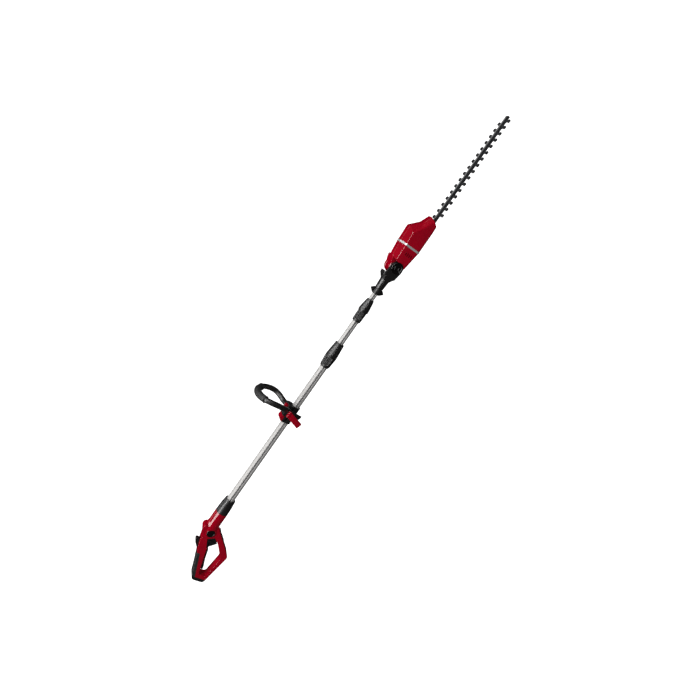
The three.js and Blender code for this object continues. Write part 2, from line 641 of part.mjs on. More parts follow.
function addCrank() {
  const { x, radius, teeth, top, root, bottom } = GEAR;
  const cogs = [];
  for (let i = 0; i < teeth; i += 1) {
    const half = TOOTH_WIDTH / 2;
    const cog = block(radius - 3, radius + 3, -half, half, root - 1, top);
    cogs.push(cog.rotate([0, 0, (360 * (i + 0.5)) / teeth]).translate([x, 0, 0]));
  }
  const wheel = rodZ(radius + 3.5, bottom, root, x, 0, 40);
  node("crank_gear", without(joined(wheel, ...cogs), rodZ(4 + GAP, -60, 60, x)), "steel");
  const offset = CRANK.throw;
  node("crank_shaft", joined(
    rodZ(4, CRANK.bottom, -2, x),
    rodZ(CRANK.disc, CRANK.bottom, CRANK.top, x),
    rodZ(CRANK.pin, LOWER_TOP - 2, CRANK.bottom + 1, x - offset, 0, 16),
    rodZ(CRANK.pin, UPPER_TOP - 2, CRANK.bottom + 1, x + offset, 0, 16),
  ), "steel");
  node("crank_bearing", rodZ(9, -18, -12, x).subtract(rodZ(4 + GAP, -30, 0, x)), "steel");
  const plate = block(1134, 1192, -30, 30, -19, -11);
  node("gearbox_plate", plate.subtract(rodZ(9 + GAP, -30, 0, x)), "grey");
}

// ---------------------------------------------------------------- cutter bar

// One side of a blade's edge, from the root of its first tooth to its last
function toothEdge(side, first) {
  const points = [];
  for (let i = 0; i < BLADE.teeth; i += 1) {
    const x = first + i * BLADE.pitch;
    const rising = [
      [TOOTH.root, BLADE.spine], [TOOTH.neck, TOOTH.neckAt, 2], [TOOTH.head, BLADE.tip - 5, 3],
      [TOOTH.crown, BLADE.tip, 3],
    ];
    points.push(...rising.map(([across, out, r]) => [x - across, side * out, r]));
    points.push(...rising.map(([across, out, r]) => [x + across, side * out, r]).reverse());
  }
  return points;
}

function bladeOutline() {
  const near = toothEdge(-1, BLADE.first);
  const far = toothEdge(1, BLADE.first + BLADE.stagger).reverse();
  const tail = [[1138, BLADE.spine - 1], [1138, -BLADE.spine + 1], [1140, -BLADE.spine]];
  const nose = [[TIP_X - 3, -11, 4], [TIP_X, -4, 4], [TIP_X, 8, 4], [TIP_X - 8, BLADE.spine, 4]];
  return outline([...tail, ...near, ...nose, ...far, [1140, BLADE.spine]], 0);
}

function addBlade(name, top) {
  const blank = slabZ(bladeOutline(), top - BLADE.thick, top, 1);
  const window = block(GEAR.x - 16, GEAR.x + 16, -10.5, 10.5, -60, 0);
  const slots = BLADE_BOLTS.map((x) => {
    const reach = STROKE + 3.8;
    return slabZ(outline([[x - reach, -3.4], [x + reach, -3.4], [x + reach, 3.4], [x - reach, 3.4]]), -60, 0);
  });
  node(name, without(blank, window, ...slots), "blade");
}

function addCutterBar() {
  addBlade("upper_blade", UPPER_TOP);
  addBlade("lower_blade", LOWER_TOP);
  const { rear, front, half, bottom, height } = BAR;
  const plan = outline([[rear, -16, 3], [1232, -16, 3], [1246, -half, 3], [front - 8, -half, 4], [front, -3, 3],
    [front, 3, 3], [front - 8, half, 4], [1246, half, 3], [1232, 16, 3], [rear, 16, 3]]);
  const holes = BLADE_BOLTS.map((x) => rodZ(BLADE_BOLT.shank + GAP, -60, 0, x, 0, 16));
  node("guide_bar", without(slabZ(plan, bottom, bottom + height, 3), ...holes), "blade");
  BLADE_BOLTS.forEach((x, i) => {
    const under = LOWER_TOP - BLADE.thick;
    const head = rodZ(BLADE_BOLT.head, under - BLADE_BOLT.thick, under - GAP, x, 0, 16);
    const shank = rodZ(BLADE_BOLT.shank, under - 1, bottom + height - 0.5, x, 0, 16);
    node(`blade_bolt_${i + 1}`, head.add(shank), "steel");
  });
}

// ---------------------------------------------------------------- assembly

addHandleShells();
addHandleTrim();
addApexInsert();
addCollar();
addTrigger();
addLockOff();
addHandleInsides();
addBatteryDock();
addTube("outer_tube", OUTER_R, OUTER_TUBE);
addTube("middle_tube", MIDDLE_R, MIDDLE_TUBE);
addTube("inner_tube", INNER_R, INNER_TUBE);
node("coiled_lead", rodX(LEAD.radius, LEAD.rear, LEAD.front), "black");
addRearLock();
addFrontLock();
addClamp();
addLoopHandle();
addCamLever();
addWingCollar();
addNeck();
addPivot();
addHeadShells();
addBandAndNose();
addMotor();
addCrank();
addCutterBar();

// The origin is the middle of the base of the tool's box
const box = new THREE.Box3().setFromObject(tool);
const middle = box.getCenter(new THREE.Vector3());
tool.position.set(-middle.x, -middle.y, -box.min.z);

export default tool;
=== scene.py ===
"""The looks of a cordless pole hedge trimmer: handle, pole, loop handle, head and cutter bar."""
import math

import bmesh
import bpy
from mathutils import Matrix, Vector


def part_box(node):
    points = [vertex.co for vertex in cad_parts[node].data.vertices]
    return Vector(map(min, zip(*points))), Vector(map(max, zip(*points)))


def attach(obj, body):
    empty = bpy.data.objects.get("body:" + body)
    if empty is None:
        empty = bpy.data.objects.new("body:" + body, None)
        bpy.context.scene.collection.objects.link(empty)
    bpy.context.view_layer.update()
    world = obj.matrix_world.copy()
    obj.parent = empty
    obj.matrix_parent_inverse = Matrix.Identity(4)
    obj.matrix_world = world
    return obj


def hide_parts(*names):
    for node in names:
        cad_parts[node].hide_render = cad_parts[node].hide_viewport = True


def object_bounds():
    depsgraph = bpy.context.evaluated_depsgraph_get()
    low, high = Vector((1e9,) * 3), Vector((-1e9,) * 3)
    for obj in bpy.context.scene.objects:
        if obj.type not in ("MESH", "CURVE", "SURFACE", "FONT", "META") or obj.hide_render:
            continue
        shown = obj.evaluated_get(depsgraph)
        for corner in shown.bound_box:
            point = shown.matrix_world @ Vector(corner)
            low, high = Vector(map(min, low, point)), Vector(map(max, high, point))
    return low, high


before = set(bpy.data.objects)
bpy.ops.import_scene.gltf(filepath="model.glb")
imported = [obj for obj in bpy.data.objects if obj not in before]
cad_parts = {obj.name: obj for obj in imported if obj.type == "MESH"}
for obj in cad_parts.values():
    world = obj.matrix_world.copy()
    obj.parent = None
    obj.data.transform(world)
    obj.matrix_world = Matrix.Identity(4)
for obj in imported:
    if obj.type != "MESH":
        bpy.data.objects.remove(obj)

CAD_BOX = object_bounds()

# ------------------------------------------------------------------ places
# Shapes are written in millimetres in the tool's own axes: X along the pole, with 0 near the mouth
# of the handle's collar, Y across, and Z up from the pole's axis.  PLACE takes them to the frame.
MM = 0.001
OUTER_TUBE_REAR = -100.0
tube_low, tube_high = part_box("outer_tube")
ORIGIN = Vector((tube_low.x - OUTER_TUBE_REAR * MM, 0, (tube_low.z + tube_high.z) / 2))
PLACE = Matrix.Translation(ORIGIN) @ Matrix.Scale(MM, 4)


def span(node):
    """Lowest and highest corners of a CAD node in the tool's own millimetres."""
    low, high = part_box(node)
    return (low - ORIGIN) / MM, (high - ORIGIN) / MM


# ------------------------------------------------------------------ materials


def shader(name, color, rough, metal=0.0, **sockets):
    material = bpy.data.materials.new(name)
    material.use_nodes = True
    bsdf = material.node_tree.nodes["Principled BSDF"]
    bsdf.inputs["Base Color"].default_value = (*color, 1)
    bsdf.inputs["Roughness"].default_value = rough
    bsdf.inputs["Metallic"].default_value = metal
    for socket, value in sockets.items():
        bsdf.inputs[socket.replace("_", " ")].default_value = value
    return material, material.node_tree, bsdf


def texture(tree, kind, scale, stretch=(1, 1, 1), **values):
    """A texture node over the object's own coordinates, with its scale stretched along each axis."""
    place = tree.nodes.new("ShaderNodeTexCoord")
    mapping = tree.nodes.new("ShaderNodeMapping")
    mapping.inputs["Scale"].default_value = stretch
    node = tree.nodes.new(kind)
    node.inputs["Scale"].default_value = scale
    for socket, value in values.items():
        node.inputs[socket].default_value = value
    tree.links.new(place.outputs["Object"], mapping.inputs["Vector"])
    tree.links.new(mapping.outputs["Vector"], node.inputs["Vector"])
    return node


def spread(tree, source, low, high, target):
    """Feeds a 0..1 value to a socket as low..high."""
    ranger = tree.nodes.new("ShaderNodeMapRange")
    ranger.inputs["To Min"].default_value = low
    ranger.inputs["To Max"].default_value = high
    tree.links.new(source, ranger.inputs["Value"])
    tree.links.new(ranger.outputs["Result"], target)


def tint(tree, bsdf, source, dark, light, low=0.3, high=0.7):
    """Base colour that wanders between two colours."""
    ramp = tree.nodes.new("ShaderNodeValToRGB")
    ramp.color_ramp.elements[0].position = low
    ramp.color_ramp.elements[1].position = high
    ramp.color_ramp.elements[0].color = (*dark, 1)
    ramp.color_ramp.elements[1].color = (*light, 1)
    tree.links.new(source, ramp.inputs["Fac"])
    tree.links.new(ramp.outputs["Color"], bsdf.inputs["Base Color"])


def relief(tree, bsdf, source, strength, distance):
    bump = tree.nodes.new("ShaderNodeBump")
    bump.inputs["Strength"].default_value = strength
    bump.inputs["Distance"].default_value = distance
    tree.links.new(source, bump.inputs["Height"])
    tree.links.new(bump.outputs["Normal"], bsdf.inputs["Normal"])


def scaled(color, factor):
    return tuple(channel * factor for channel in color)


def plastic(name, color, rough, grain, strength, **sockets):
    """Moulded plastic: faint colour drift, patchy gloss and a fine spark-eroded grain."""
    material, tree, bsdf = shader(name, color, rough, **sockets)
    drift = texture(tree, "ShaderNodeTexNoise", 22, Detail=4)
    tint(tree, bsdf, drift.outputs["Fac"], scaled(color, 0.88), scaled(color, 1.1))
    smudge = texture(tree, "ShaderNodeTexNoise", 60, Detail=6, Roughness=0.6)
    spread(tree, smudge.outputs["Fac"], rough - 0.06, rough + 0.08, bsdf.inputs["Roughness"])
    fine = texture(tree, "ShaderNodeTexNoise", grain, Detail=3)
    relief(tree, bsdf, fine.outputs["Fac"], strength, 0.0002)
    return material


def rubber(name, color):
    """Soft overmould with a fine pebbled skin."""
    material, tree, bsdf = shader(name, color, 0.5, Specular_IOR_Level=0.6)
    drift = texture(tree, "ShaderNodeTexNoise", 30, Detail=5)
    tint(tree, bsdf, drift.outputs["Fac"], scaled(color, 0.75), scaled(color, 1.3))
    pebble = texture(tree, "ShaderNodeTexVoronoi", 1100)
    relief(tree, bsdf, pebble.outputs["Distance"], 0.5, 0.0004)
    spread(tree, drift.outputs["Fac"], 0.4, 0.6, bsdf.inputs["Roughness"])
    return material


def drawn_metal(name, color, rough, metal, along=(4, 300, 300)):
    """Metal with fine lines along its length and a few fainter smears."""
    material, tree, bsdf = shader(name, color, rough, metal=metal)
    lines = texture(tree, "ShaderNodeTexNoise", 5, stretch=along, Detail=6, Roughness=0.7)
    tint(tree, bsdf, lines.outputs["Fac"], scaled(color, 0.86), scaled(color, 1.08))
    spread(tree, lines.outputs["Fac"], rough - 0.08, rough + 0.12, bsdf.inputs["Roughness"])
    relief(tree, bsdf, lines.outputs["Fac"], 0.12, 0.0001)
    return material


def blade_steel(name):
    """Dark hardened steel, brighter where it has been ground and rubbed."""
    material, tree, bsdf = shader(name, (0.06, 0.062, 0.066), 0.42, metal=0.85)
    blotch = texture(tree, "ShaderNodeTexNoise", 70, Detail=8, Roughness=0.7)
    dark, light = (0.035, 0.036, 0.039), (0.11, 0.112, 0.118)
    tint(tree, bsdf, blotch.outputs["Fac"], dark, light, 0.35, 0.75)
    scratch = texture(tree, "ShaderNodeTexNoise", 6, stretch=(8, 260, 60), Detail=5)
    spread(tree, scratch.outputs["Fac"], 0.3, 0.6, bsdf.inputs["Roughness"])
    relief(tree, bsdf, scratch.outputs["Fac"], 0.15, 0.0001)
    return material


def circuit_board(name):
    """Green lacquer with copper tracks."""
    material, tree, bsdf = shader(name, (0.02, 0.11, 0.04), 0.4)
    tracks = texture(tree, "ShaderNodeTexBrick", 260)
    tracks.inputs["Color1"].default_value = (0.015, 0.09, 0.03, 1)
    tracks.inputs["Color2"].default_value = (0.02, 0.12, 0.045, 1)
    tracks.inputs["Mortar"].default_value = (0.3, 0.2, 0.06, 1)
    tree.links.new(tracks.outputs["Color"], bsdf.inputs["Base Color"])
    return material


RED = plastic("red_plastic", (0.245, 0.0003, 0.008), 0.42, 900, 0.03,
              Specular_IOR_Level=0.0, Coat_Weight=0.6, Coat_Roughness=0.13)
INK = (0.004, 0.0036, 0.0038)
BLACK = plastic("black_plastic", INK, 0.42, 1400, 0.2, Specular_IOR_Level=0.9)
SATIN = plastic("satin_black", INK, 0.38, 1000, 0.1, Specular_IOR_Level=1.0)
GLOSS = plastic("gloss_black", (0.003, 0.0026, 0.0026), 0.22, 900, 0.05,
                Specular_IOR_Level=0.35)
GREY = plastic("grey_plastic", (0.09, 0.09, 0.09), 0.5, 1200, 0.25)
SOFT = rubber("soft_grip", (0.016, 0.016, 0.0162))
JACKET = rubber("lead_jacket", (0.012, 0.012, 0.012))
ALUMINIUM = drawn_metal("pole_aluminium", (0.51, 0.5, 0.49), 0.64, metal=0.5)
STEEL = drawn_metal("zinc_steel", (0.5, 0.51, 0.52), 0.36, metal=0.7, along=(60, 60, 60))
SILVER = drawn_metal("silver_band", (0.86, 0.84, 0.84), 0.3, metal=0.75, along=(200, 20, 20))
BLADE = blade_steel("blade_steel")
# Paler grey steel for the top of the bar's rail: a painted highlight on its lit top face.
PAINTED_HIGHLIGHT_STEEL = drawn_metal("bar_steel", (0.18, 0.18, 0.18), 0.5, metal=0.3, along=(8, 200, 60))
BOARD = circuit_board("circuit_board")

# ------------------------------------------------------------------ mesh tools


def mesh_object(name, verts, faces):
    mesh = bpy.data.meshes.new(name)
    mesh.from_pydata([tuple(v) for v in verts], [], faces)
    mesh.validate()
    mesh.update()
    obj = bpy.data.objects.new(name, mesh)
    bpy.context.scene.collection.objects.link(obj)
    return outward(obj)


def outward(obj):
    """Recalculates the faces so that they point out."""
    bm = bmesh.new()
    bm.from_mesh(obj.data)
    bmesh.ops.recalc_face_normals(bm, faces=bm.faces)
    bm.to_mesh(obj.data)
    bm.free()
    return obj


def baked(obj):
    """Applies the object's modifiers to its mesh."""
    graph = bpy.context.evaluated_depsgraph_get()
    mesh = bpy.data.meshes.new_from_object(obj.evaluated_get(graph))
    obj.modifiers.clear()
    obj.data = mesh
    return obj


def modified(obj, kind, **settings):
    """Adds a modifier and applies it."""
    modifier = obj.modifiers.new(kind.lower(), kind)
    for key, value in settings.items():
        setattr(modifier, key, value)
    return baked(obj)


def cut(obj, *cutters, operation="DIFFERENCE"):
    """Cuts, joins or intersects the object with others, which are used up."""
    for cutter in cutters:
        modified(obj, "BOOLEAN", object=cutter, operation=operation, solver="MANIFOLD")
        bpy.data.objects.remove(cutter)
    return obj


def duplicate(obj, name):
    twin = obj.copy()
    twin.name = name
    twin.data = obj.data.copy()
    bpy.context.scene.collection.objects.link(twin)
    return twin


def bevelled(obj, width, segments=3, angle=25):
    return modified(obj, "BEVEL", width=width, segments=segments, limit_method="ANGLE",
                    angle_limit=math.radians(angle))


def melted(obj, voxel, rounds):
    """Remeshes the object evenly and smooths it, so that its edges flow."""
    modified(obj, "REMESH", mode="VOXEL", voxel_size=voxel)
    return modified(obj, "SMOOTH", factor=0.5, iterations=rounds)


def copied(name, node):
    """A new object with a CAD node's mesh, in the tool's own millimetres."""
    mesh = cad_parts[node].data.copy()
    mesh.transform(PLACE.inverted())
    mesh.materials.clear()
    obj = bpy.data.objects.new(name, mesh)
    bpy.context.scene.collection.objects.link(obj)
    bm = bmesh.new()
    bm.from_mesh(mesh)
    bmesh.ops.remove_doubles(bm, verts=bm.verts, dist=0.002)
    bm.to_mesh(mesh)
    bm.free()
    return obj


def joined(first, *others):
    """One object from several, without a boolean."""
    bm = bmesh.new()
    for obj in (first, *others):
        bm.from_mesh(obj.data)
    bm.to_mesh(first.data)
    bm.free()
    for obj in others:
        bpy.data.objects.remove(obj)
    return first


def piece(obj, body, material, slot, *nodes, crease=32):
    """Places a finished shape in the frame on its body."""
    obj.data.transform(PLACE)
    obj.data.materials.clear()
    obj.data.materials.append(material)
    obj.data.shade_smooth()
    obj.data.set_sharp_from_angle(angle=math.radians(crease))
    modified(obj, "WEIGHTED_NORMAL", keep_sharp=True)
    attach(obj, body)
    if nodes:
        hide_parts(*nodes)
    return obj


def dress(material, *nodes):
    """Gives CAD nodes that stay visible a material."""
    for node in nodes:
        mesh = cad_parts[node].data
        mesh.materials.clear()
        mesh.materials.append(material)


def rounded(points, radius=0.0, steps=5):
    """An outline with its corners rounded; a corner may name its own radius as a third number."""
    result = []
    count = len(points)
    for i, point in enumerate(points):
        corner = Vector(point[:2])
        before = Vector(points[i - 1][:2]) - corner
        after = Vector(points[(i + 1) % count][:2]) - corner
        asked = point[2] if len(point) > 2 else radius
        reach = min(asked, before.length / 2.1, after.length / 2.1)
        if reach <= 0:
            result.append(corner)
            continue
        start, end = corner + before.normalized() * reach, corner + after.normalized() * reach
        for step in range(steps + 1):
            t = step / steps
            result.append(start * (1 - t) ** 2 + corner * (2 * t * (1 - t)) + end * t ** 2)
    return result


def slab(name, outline, low, high, axis="y", rim=0.0, segments=3):
    """An outline in X and Z extruded across Y, or one in X and Y extruded up Z."""
    count = len(outline)
    verts = [(p[0], h, p[1]) if axis == "y" else (p[0], p[1], h)
             for h in (low, high) for p in outline]
    caps = [tuple(range(count)), tuple(range(count, 2 * count))]
    sides = [(i, (i + 1) % count, (i + 1) % count + count, i + count) for i in range(count)]
    obj = mesh_object(name, verts, caps + sides)
    if rim:
        round_rims(obj, rim, segments)
    return obj


def round_rims(obj, rim, segments):
    """Rounds the edges of the two largest flat faces."""
    bm = bmesh.new()
    bm.from_mesh(obj.data)
    caps = sorted(bm.faces, key=lambda face: -len(face.verts))[:2]
    edges = {edge for cap in caps for edge in cap.edges}
    bmesh.ops.bevel(bm, geom=list(edges), offset=rim, segments=segments, affect="EDGES",
                    clamp_overlap=True, profile=0.5)
    bm.to_mesh(obj.data)
    bm.free()


def block(name, x0, x1, y0, y1, z0, z1, rim=0.0):
    obj = slab(name, [(x0, z0), (x1, z0), (x1, z1), (x0, z1)], y0, y1)
    return bevelled(obj, rim) if rim else obj


def turned(name, profile, sides, ripple=None, axis="x", centre=(0, 0, 0)):
    """A closed profile of (along, radius) turned round an axis.

    ripple(along, radius, angle) may change a radius with the angle.
    """
    verts = []
    for along, radius in profile:
        for step in range(sides):
            angle = 2 * math.pi * step / sides
            r = ripple(along, radius, angle) if ripple else radius
            u, v = r * math.cos(angle), r * math.sin(angle)
            point = {"x": (along, u, v), "y": (u, along, v), "z": (u, v, along)}[axis]
            verts.append(Vector(point) + Vector(centre))
    rows = len(profile)
    faces = []
    for row in range(rows):
        here, below = row * sides, (row + 1) % rows * sides
        for step in range(sides):
            after = (step + 1) % sides
            faces.append((here + step, here + after, below + after, below + step))
    obj = mesh_object(name, verts, faces)
    bm = bmesh.new()
    bm.from_mesh(obj.data)
    bmesh.ops.remove_doubles(bm, verts=bm.verts, dist=0.0005)
    bmesh.ops.dissolve_degenerate(bm, edges=bm.edges, dist=0.0005)
    bm.to_mesh(obj.data)
    bm.free()
    return outward(obj)


def curve_points(points, per_span):
    """Catmull-Rom points through a list of vectors."""
    result = []
    last = len(points) - 1
    for i in range(last):
        p0, p1 = points[max(i - 1, 0)], points[i]
        p2, p3 = points[i + 1], points[min(i + 2, last)]
        for step in range(per_span):
            t = step / per_span
            result.append(0.5 * ((2 * p1) + (p2 - p0) * t + (2 * p0 - 5 * p1 + 4 * p2 - p3) * t * t
                                 + (3 * p1 - p0 - 3 * p2 + p3) * t ** 3))
    result.append(points[last])
    return result


def swept(name, path, section, sides):
    """A bar along a path; section(t) gives half its width and half its depth at t in 0..1."""
    verts = []
    count = len(path)
    for i, point in enumerate(path):
        along = (path[min(i + 1, count - 1)] - path[max(i - 1, 0)]).normalized()
        depth = (Vector((1, 0, 0)) - along * along.x).normalized()
        across = along.cross(depth)
        wide, deep = section(i / (count - 1))
        for step in range(sides):
            angle = 2 * math.pi * step / sides
            verts.append(point + across * (wide * math.cos(angle))
                         + depth * (deep * math.sin(angle)))
    faces = [tuple(range(sides)), tuple(range((count - 1) * sides, count * sides))]
    for i in range(count - 1):
        for step in range(sides):
            after = (step + 1) % sides
            row = i * sides
            faces.append((row + step, row + after, row + sides + after, row + sides + step))
    return mesh_object(name, verts, faces)


def rod(name, radius, low, high, centre, axis="y", sides=48, rim=0.0):
    """A round bar along an axis; centre gives its other two places."""
    ends = [(low, radius - rim), (low + rim, radius), (high - rim, radius), (high, radius - rim)]
    wall = ends if rim else [(low, radius), (high, radius)]
    return turned(name, [(low, 0), *wall, (high, 0)], sides, axis=axis, centre=centre)


def lofted(name, rings):
    """Rings of points with the same count, skinned one to the next and capped."""
    count = len(rings[0])
    faces = [tuple(range(count)), tuple(range((len(rings) - 1) * count, len(rings) * count))]
    for row in range(len(rings) - 1):
        for i in range(count):
            after = (i + 1) % count
            start = row * count
            faces.append((start + i, start + after, start + count + after, start + count + i))
    return mesh_object(name, [Vector(point) for ring in rings for point in ring], faces)


SCREW_RADIUS = 3.2
SCREW_WELL = 4.0


def screw(name, x, z, face, body):
    """A countersunk screw with a six-lobed socket, facing +Y."""
    centre = (x, 0, z)
    profile = [(face, 0), (face, SCREW_RADIUS - 0.5), (face - 0.5, SCREW_RADIUS),
               (face - 1.6, SCREW_RADIUS * 0.6), (face - 1.6, 0)]
    head = turned(name, profile, 40, axis="y", centre=centre)
    socket = [(face + 1, 0), (face + 1, 1.5), (face - 1, 1.4), (face - 1, 0)]
    lobes = turned("lobes", socket, 36, lambda along, radius, angle: radius and radius * (
        1 + 0.16 * math.cos(6 * angle)), "y", centre)
    piece(cut(head, lobes), body, STEEL, "steel", crease=30)


# ------------------------------------------------------------------ rear handle

HALF_GRIP = 17.0
OUTER_BORE = 14.3  # room for the outer tube
BARREL_FLAT = 23.2  # from the pole's axis to the barrel's two flats
BARREL_FLAT_TURN = 45.5  # degrees from straight up
# Outlines are in X and Z; a third number is the corner's own radius.
HANDLE_OUTLINE = [
    (-90, 20), (-101, 22.5, 3), (-109, 31.5, 4), (-119, 32, 5), (-142, 18, 10), (-180, 8.5, 20),
    (-263, -26, 20), (-303, -41, 8), (-313, -49, 6), (-315, -56, 6), (-315, -91, 6),
    (-309, -96.5, 5), (-200, -119, 4), (-193, -118, 4), (-186, -112, 4), (-110, -32, 9),
    (-98, -20, 8), (-90, -18),
]
FINGER_HOLE = [
    (-284, -59.5, 5), (-288, -64, 4), (-288, -85, 4), (-283, -89.5, 4), (-215, -98, 6),
    (-206, -96, 6), (-157, -54, 6), (-145, -38, 4), (-149, -19, 4), (-182, -27, 8),
]
GRIP_EDGE, CAP_EDGE = -212.0, -302.0
GRIP_REGION = [(GRIP_EDGE, 40), (GRIP_EDGE, -16.5), (CAP_EDGE, -54), (CAP_EDGE, 40)]
INSERT_REGION = [(-184, -24), (-151, -7), (-139, -31), (-144.5, -39), (-158, -52.5), (-163, -47)]
TRIGGER_ROOM = [(-183, -24), (-278, -48), (-278, -68), (-183, -44)]
BUTTON_ROOM = [(-206, -10), (-206, 8), (-196, 34), (-158, 38), (-158, 2)]
DISC_CENTRE = (-126.0, 0, -5.0)
DOCK_FOOT, DOCK_HEAD = Vector((-189, -114.5)), Vector((-110, -31.5))
SEAM = 0.2  # half the gap between two shells
PARTING = 0.4  # the gap between the shells and the soft cover or the cap
SHELL_SCREWS = [(-122, 22), (-170, 1), (-236, -34), (-294, -72), (-204, -108.5), (-160, -72),
                (-122, -39)]


def dock_block(name, s0, s1, n0, n1, half):
    """A block on the front leg: s along the leg from its foot, n out of its face."""
    along = (DOCK_HEAD - DOCK_FOOT).normalized()
    out = Vector((along.y, -along.x))
    corners = [DOCK_FOOT + along * s + out * n
               for s, n in ((s0, n0), (s1, n0), (s1, n1), (s0, n1))]
    return slab(name, corners, -half, half)


def halves(whole, names, nodes, body, reach, crease):
    """Splits a housing at its seam into its left and right shells."""
    for name, node, sign in zip(names, nodes, (1, -1)):
        zone = block("zone", *reach, *sorted((sign * SEAM, sign * 60)), -200, 100)
        shell = cut(duplicate(whole, name), zone, operation="INTERSECT")
        piece(shell, body, RED, "red_plastic", node, crease=crease)
    bpy.data.objects.remove(whole)


def handle_body():
    """The handle as one flowing shape: the loop, the socket for the pole and the hub's boss."""
    loop = slab("handle_body", rounded(HANDLE_OUTLINE, 2), -HALF_GRIP, HALF_GRIP)
    cut(loop, slab("hole", rounded(FINGER_HOLE, 2), -40, 40))
    modified(loop, "DECIMATE", decimate_type="DISSOLVE", angle_limit=math.radians(1))
    bevelled(loop, 5.5, 4, angle=60)
    socket = turned("socket", [(-152, 0), (-152, 12), (-118, 23.3), (-40, 23.6), (-40, 0)], 96)
    boss = rod("boss", 18.5, -20, 20, DISC_CENTRE, rim=1.2)
    body = melted(joined(loop, socket, boss), 0.9, 8)
    for turn in (BARREL_FLAT_TURN, -BARREL_FLAT_TURN):
        flat = block("barrel_flat", -106, -30, -8, 8, BARREL_FLAT, 40)
        flat.data.transform(Matrix.Rotation(math.radians(turn), 4, "X"))
        cut(body, flat)
    pole = rod("pole", OUTER_BORE, -100.3, -30, (0, 0, 0), "x")
    mouth = block("mouth", span("tube_collar")[0].x - 0.5, -30, -40, 40, -40, 40)
    return cut(body, mouth, pole)


def build_handle():
    body = handle_body()
    cap_zone = block("cap_zone", -340, CAP_EDGE, -40, 40, -110, -20)
    cap = cut(duplicate(body, "heel_cap"), cap_zone, operation="INTERSECT")
    piece(cap, "root", BLACK, "black_plastic", "rear_foot_cap", crease=50)
    palm_outline = [(x + PARTING if x == CAP_EDGE else x, z) for x, z in GRIP_REGION]
    palm = cut(duplicate(body, "palm_grip"), slab("palm_zone", palm_outline, -40, 40),
               operation="INTERSECT")
    piece(palm, "root", SOFT, "soft_grip", "grip_cover", crease=50)
    palm_room = [(x + PARTING if x == GRIP_EDGE else x, z - PARTING) for x, z in GRIP_REGION]
    cut(body, block("cap_room", -340, CAP_EDGE + PARTING, -40, 40, -110, -20),
        slab("palm_room", palm_room, -40, 40), slab("insert_room", INSERT_REGION, -40, 40),
        slab("trigger_room", TRIGGER_ROOM, -8.7, 8.7), slab("button_room", BUTTON_ROOM, -6.7, 6.7),
        dock_block("dock_room", 7.7, 106.3, -4.3, 8, 12.8))
    for side in (-1, 1):
        cut(body, rod("disc_room", 14.9, *sorted((side * 18.2, side * 40)), DISC_CENTRE))
    for x, z in SHELL_SCREWS:
        cut(body, rod("well", SCREW_WELL, 14.6, 26, (x, 0, z)))
        screw(f"shell_screw_{abs(x)}", x, z, 15.6, "root")
    halves(body, ("left_handle_shell", "right_handle_shell"),
           ("handle_shell_left", "handle_shell_right"), "root", (-400, 0), 50)


def build_insert():
    """The insert at the apex of the loop, with two tapered pockets on each side."""
    middle = sum((Vector(point) for point in INSERT_REGION), Vector((0, 0))) / len(INSERT_REGION)
    shrunk = [middle + (Vector(point) - middle) * 0.965 for point in INSERT_REGION]
    insert = slab("loop_insert", rounded(shrunk, 2), -15.6, 15.6)
    bevelled(insert, 0.8, 2, angle=50)
    rear_pocket = [(-174, -25), (-160.5, -18), (-164.5, -42)]
    front_pocket = [(-155, -14), (-144, -31), (-159, -46.5)]
    for side in (-1, 1):
        for pocket in (rear_pocket, front_pocket):
            low, high = sorted((side * 12.6, side * 20))
            cut(insert, slab("pocket", rounded(pocket, 1.5), low, high))
    cut(insert, block("switch_room", -172, -130, -11.5, 11.5, -18, 0))
    piece(insert, "root", BLACK, "black_plastic", "apex_insert", crease=35)


TRIGGER_PIN, BUTTON_PIN, PIN_BORE = (-188, 0, -29), (-172, 0, 4), 2.3


def build_trigger():
    """The trigger with its finger grooves and the lock-off button with its thumb ribs."""
    lever = [(-186, -24, 2), (-183, -33, 3), (-194, -40, 3), (-230, -50.5, 12), (-258, -63, 8),
             (-271, -66.5, 3), (-272.5, -59, 3), (-258, -51, 6), (-226, -37, 6), (-200, -27, 4)]
    trigger = slab("trigger_lever", rounded(lever, 2, 8), -8, 8, rim=2.2, segments=4)
    for i in range(5):
        x = -214 - 9 * i
        z = -45.6 - 0.36 * (-214 - x) - (1.4 if i > 2 else 0)
        cut(trigger, rod("groove", 1.3, -9, 9, (x, 0, z - 1.7), sides=16))
    cut(trigger, rod("bore", PIN_BORE, -20, 20, TRIGGER_PIN))
    piece(trigger, "trigger", BLACK, "black_plastic", "trigger", crease=40)
    fin = [(-200, 1, 1), (-199, 5, 2), (-184, 19.5, 4), (-170, 27.5, 4), (-165.5, 26, 2),
           (-164.5, 21, 2), (-168, 3, 1)]
    button = slab("lock_off_thumb", rounded(fin, 1, 6), -6, 6, rim=1.3)
    for i in range(4):
        x, z = -194 + 5.5 * i, 10.5 + 4.9 * i
        cut(button, rod("rib", 0.9, -9, 9, (x, 0, z), sides=16))
    cut(button, rod("hub", 5, -6, 6, BUTTON_PIN, rim=0.4), operation="UNION")
    cut(button, rod("bore", PIN_BORE, -20, 20, BUTTON_PIN))
    piece(button, "lock_off", BLACK, "black_plastic", "lock_off_button", crease=40)


def build_hub_discs():
    """The round discs on both sides of the hub."""
    steps = [(18.4, 0), (18.4, 14.5), (20.9, 14.5), (21.4, 14.0), (21.4, 12.2), (20.9, 11.7),
             (20.7, 8), (20.9, 7.6), (20.9, 6.4), (20.7, 6.0), (20.6, 0)]
    for side, sign in (("left", 1), ("right", -1)):
        profile = [(sign * along, radius) for along, radius in steps]
        disc = turned(f"{side}_hub_disc", profile, 72, axis="y", centre=DISC_CENTRE)
        piece(disc, "root", GLOSS, "black_plastic", f"side_disc_{side}")


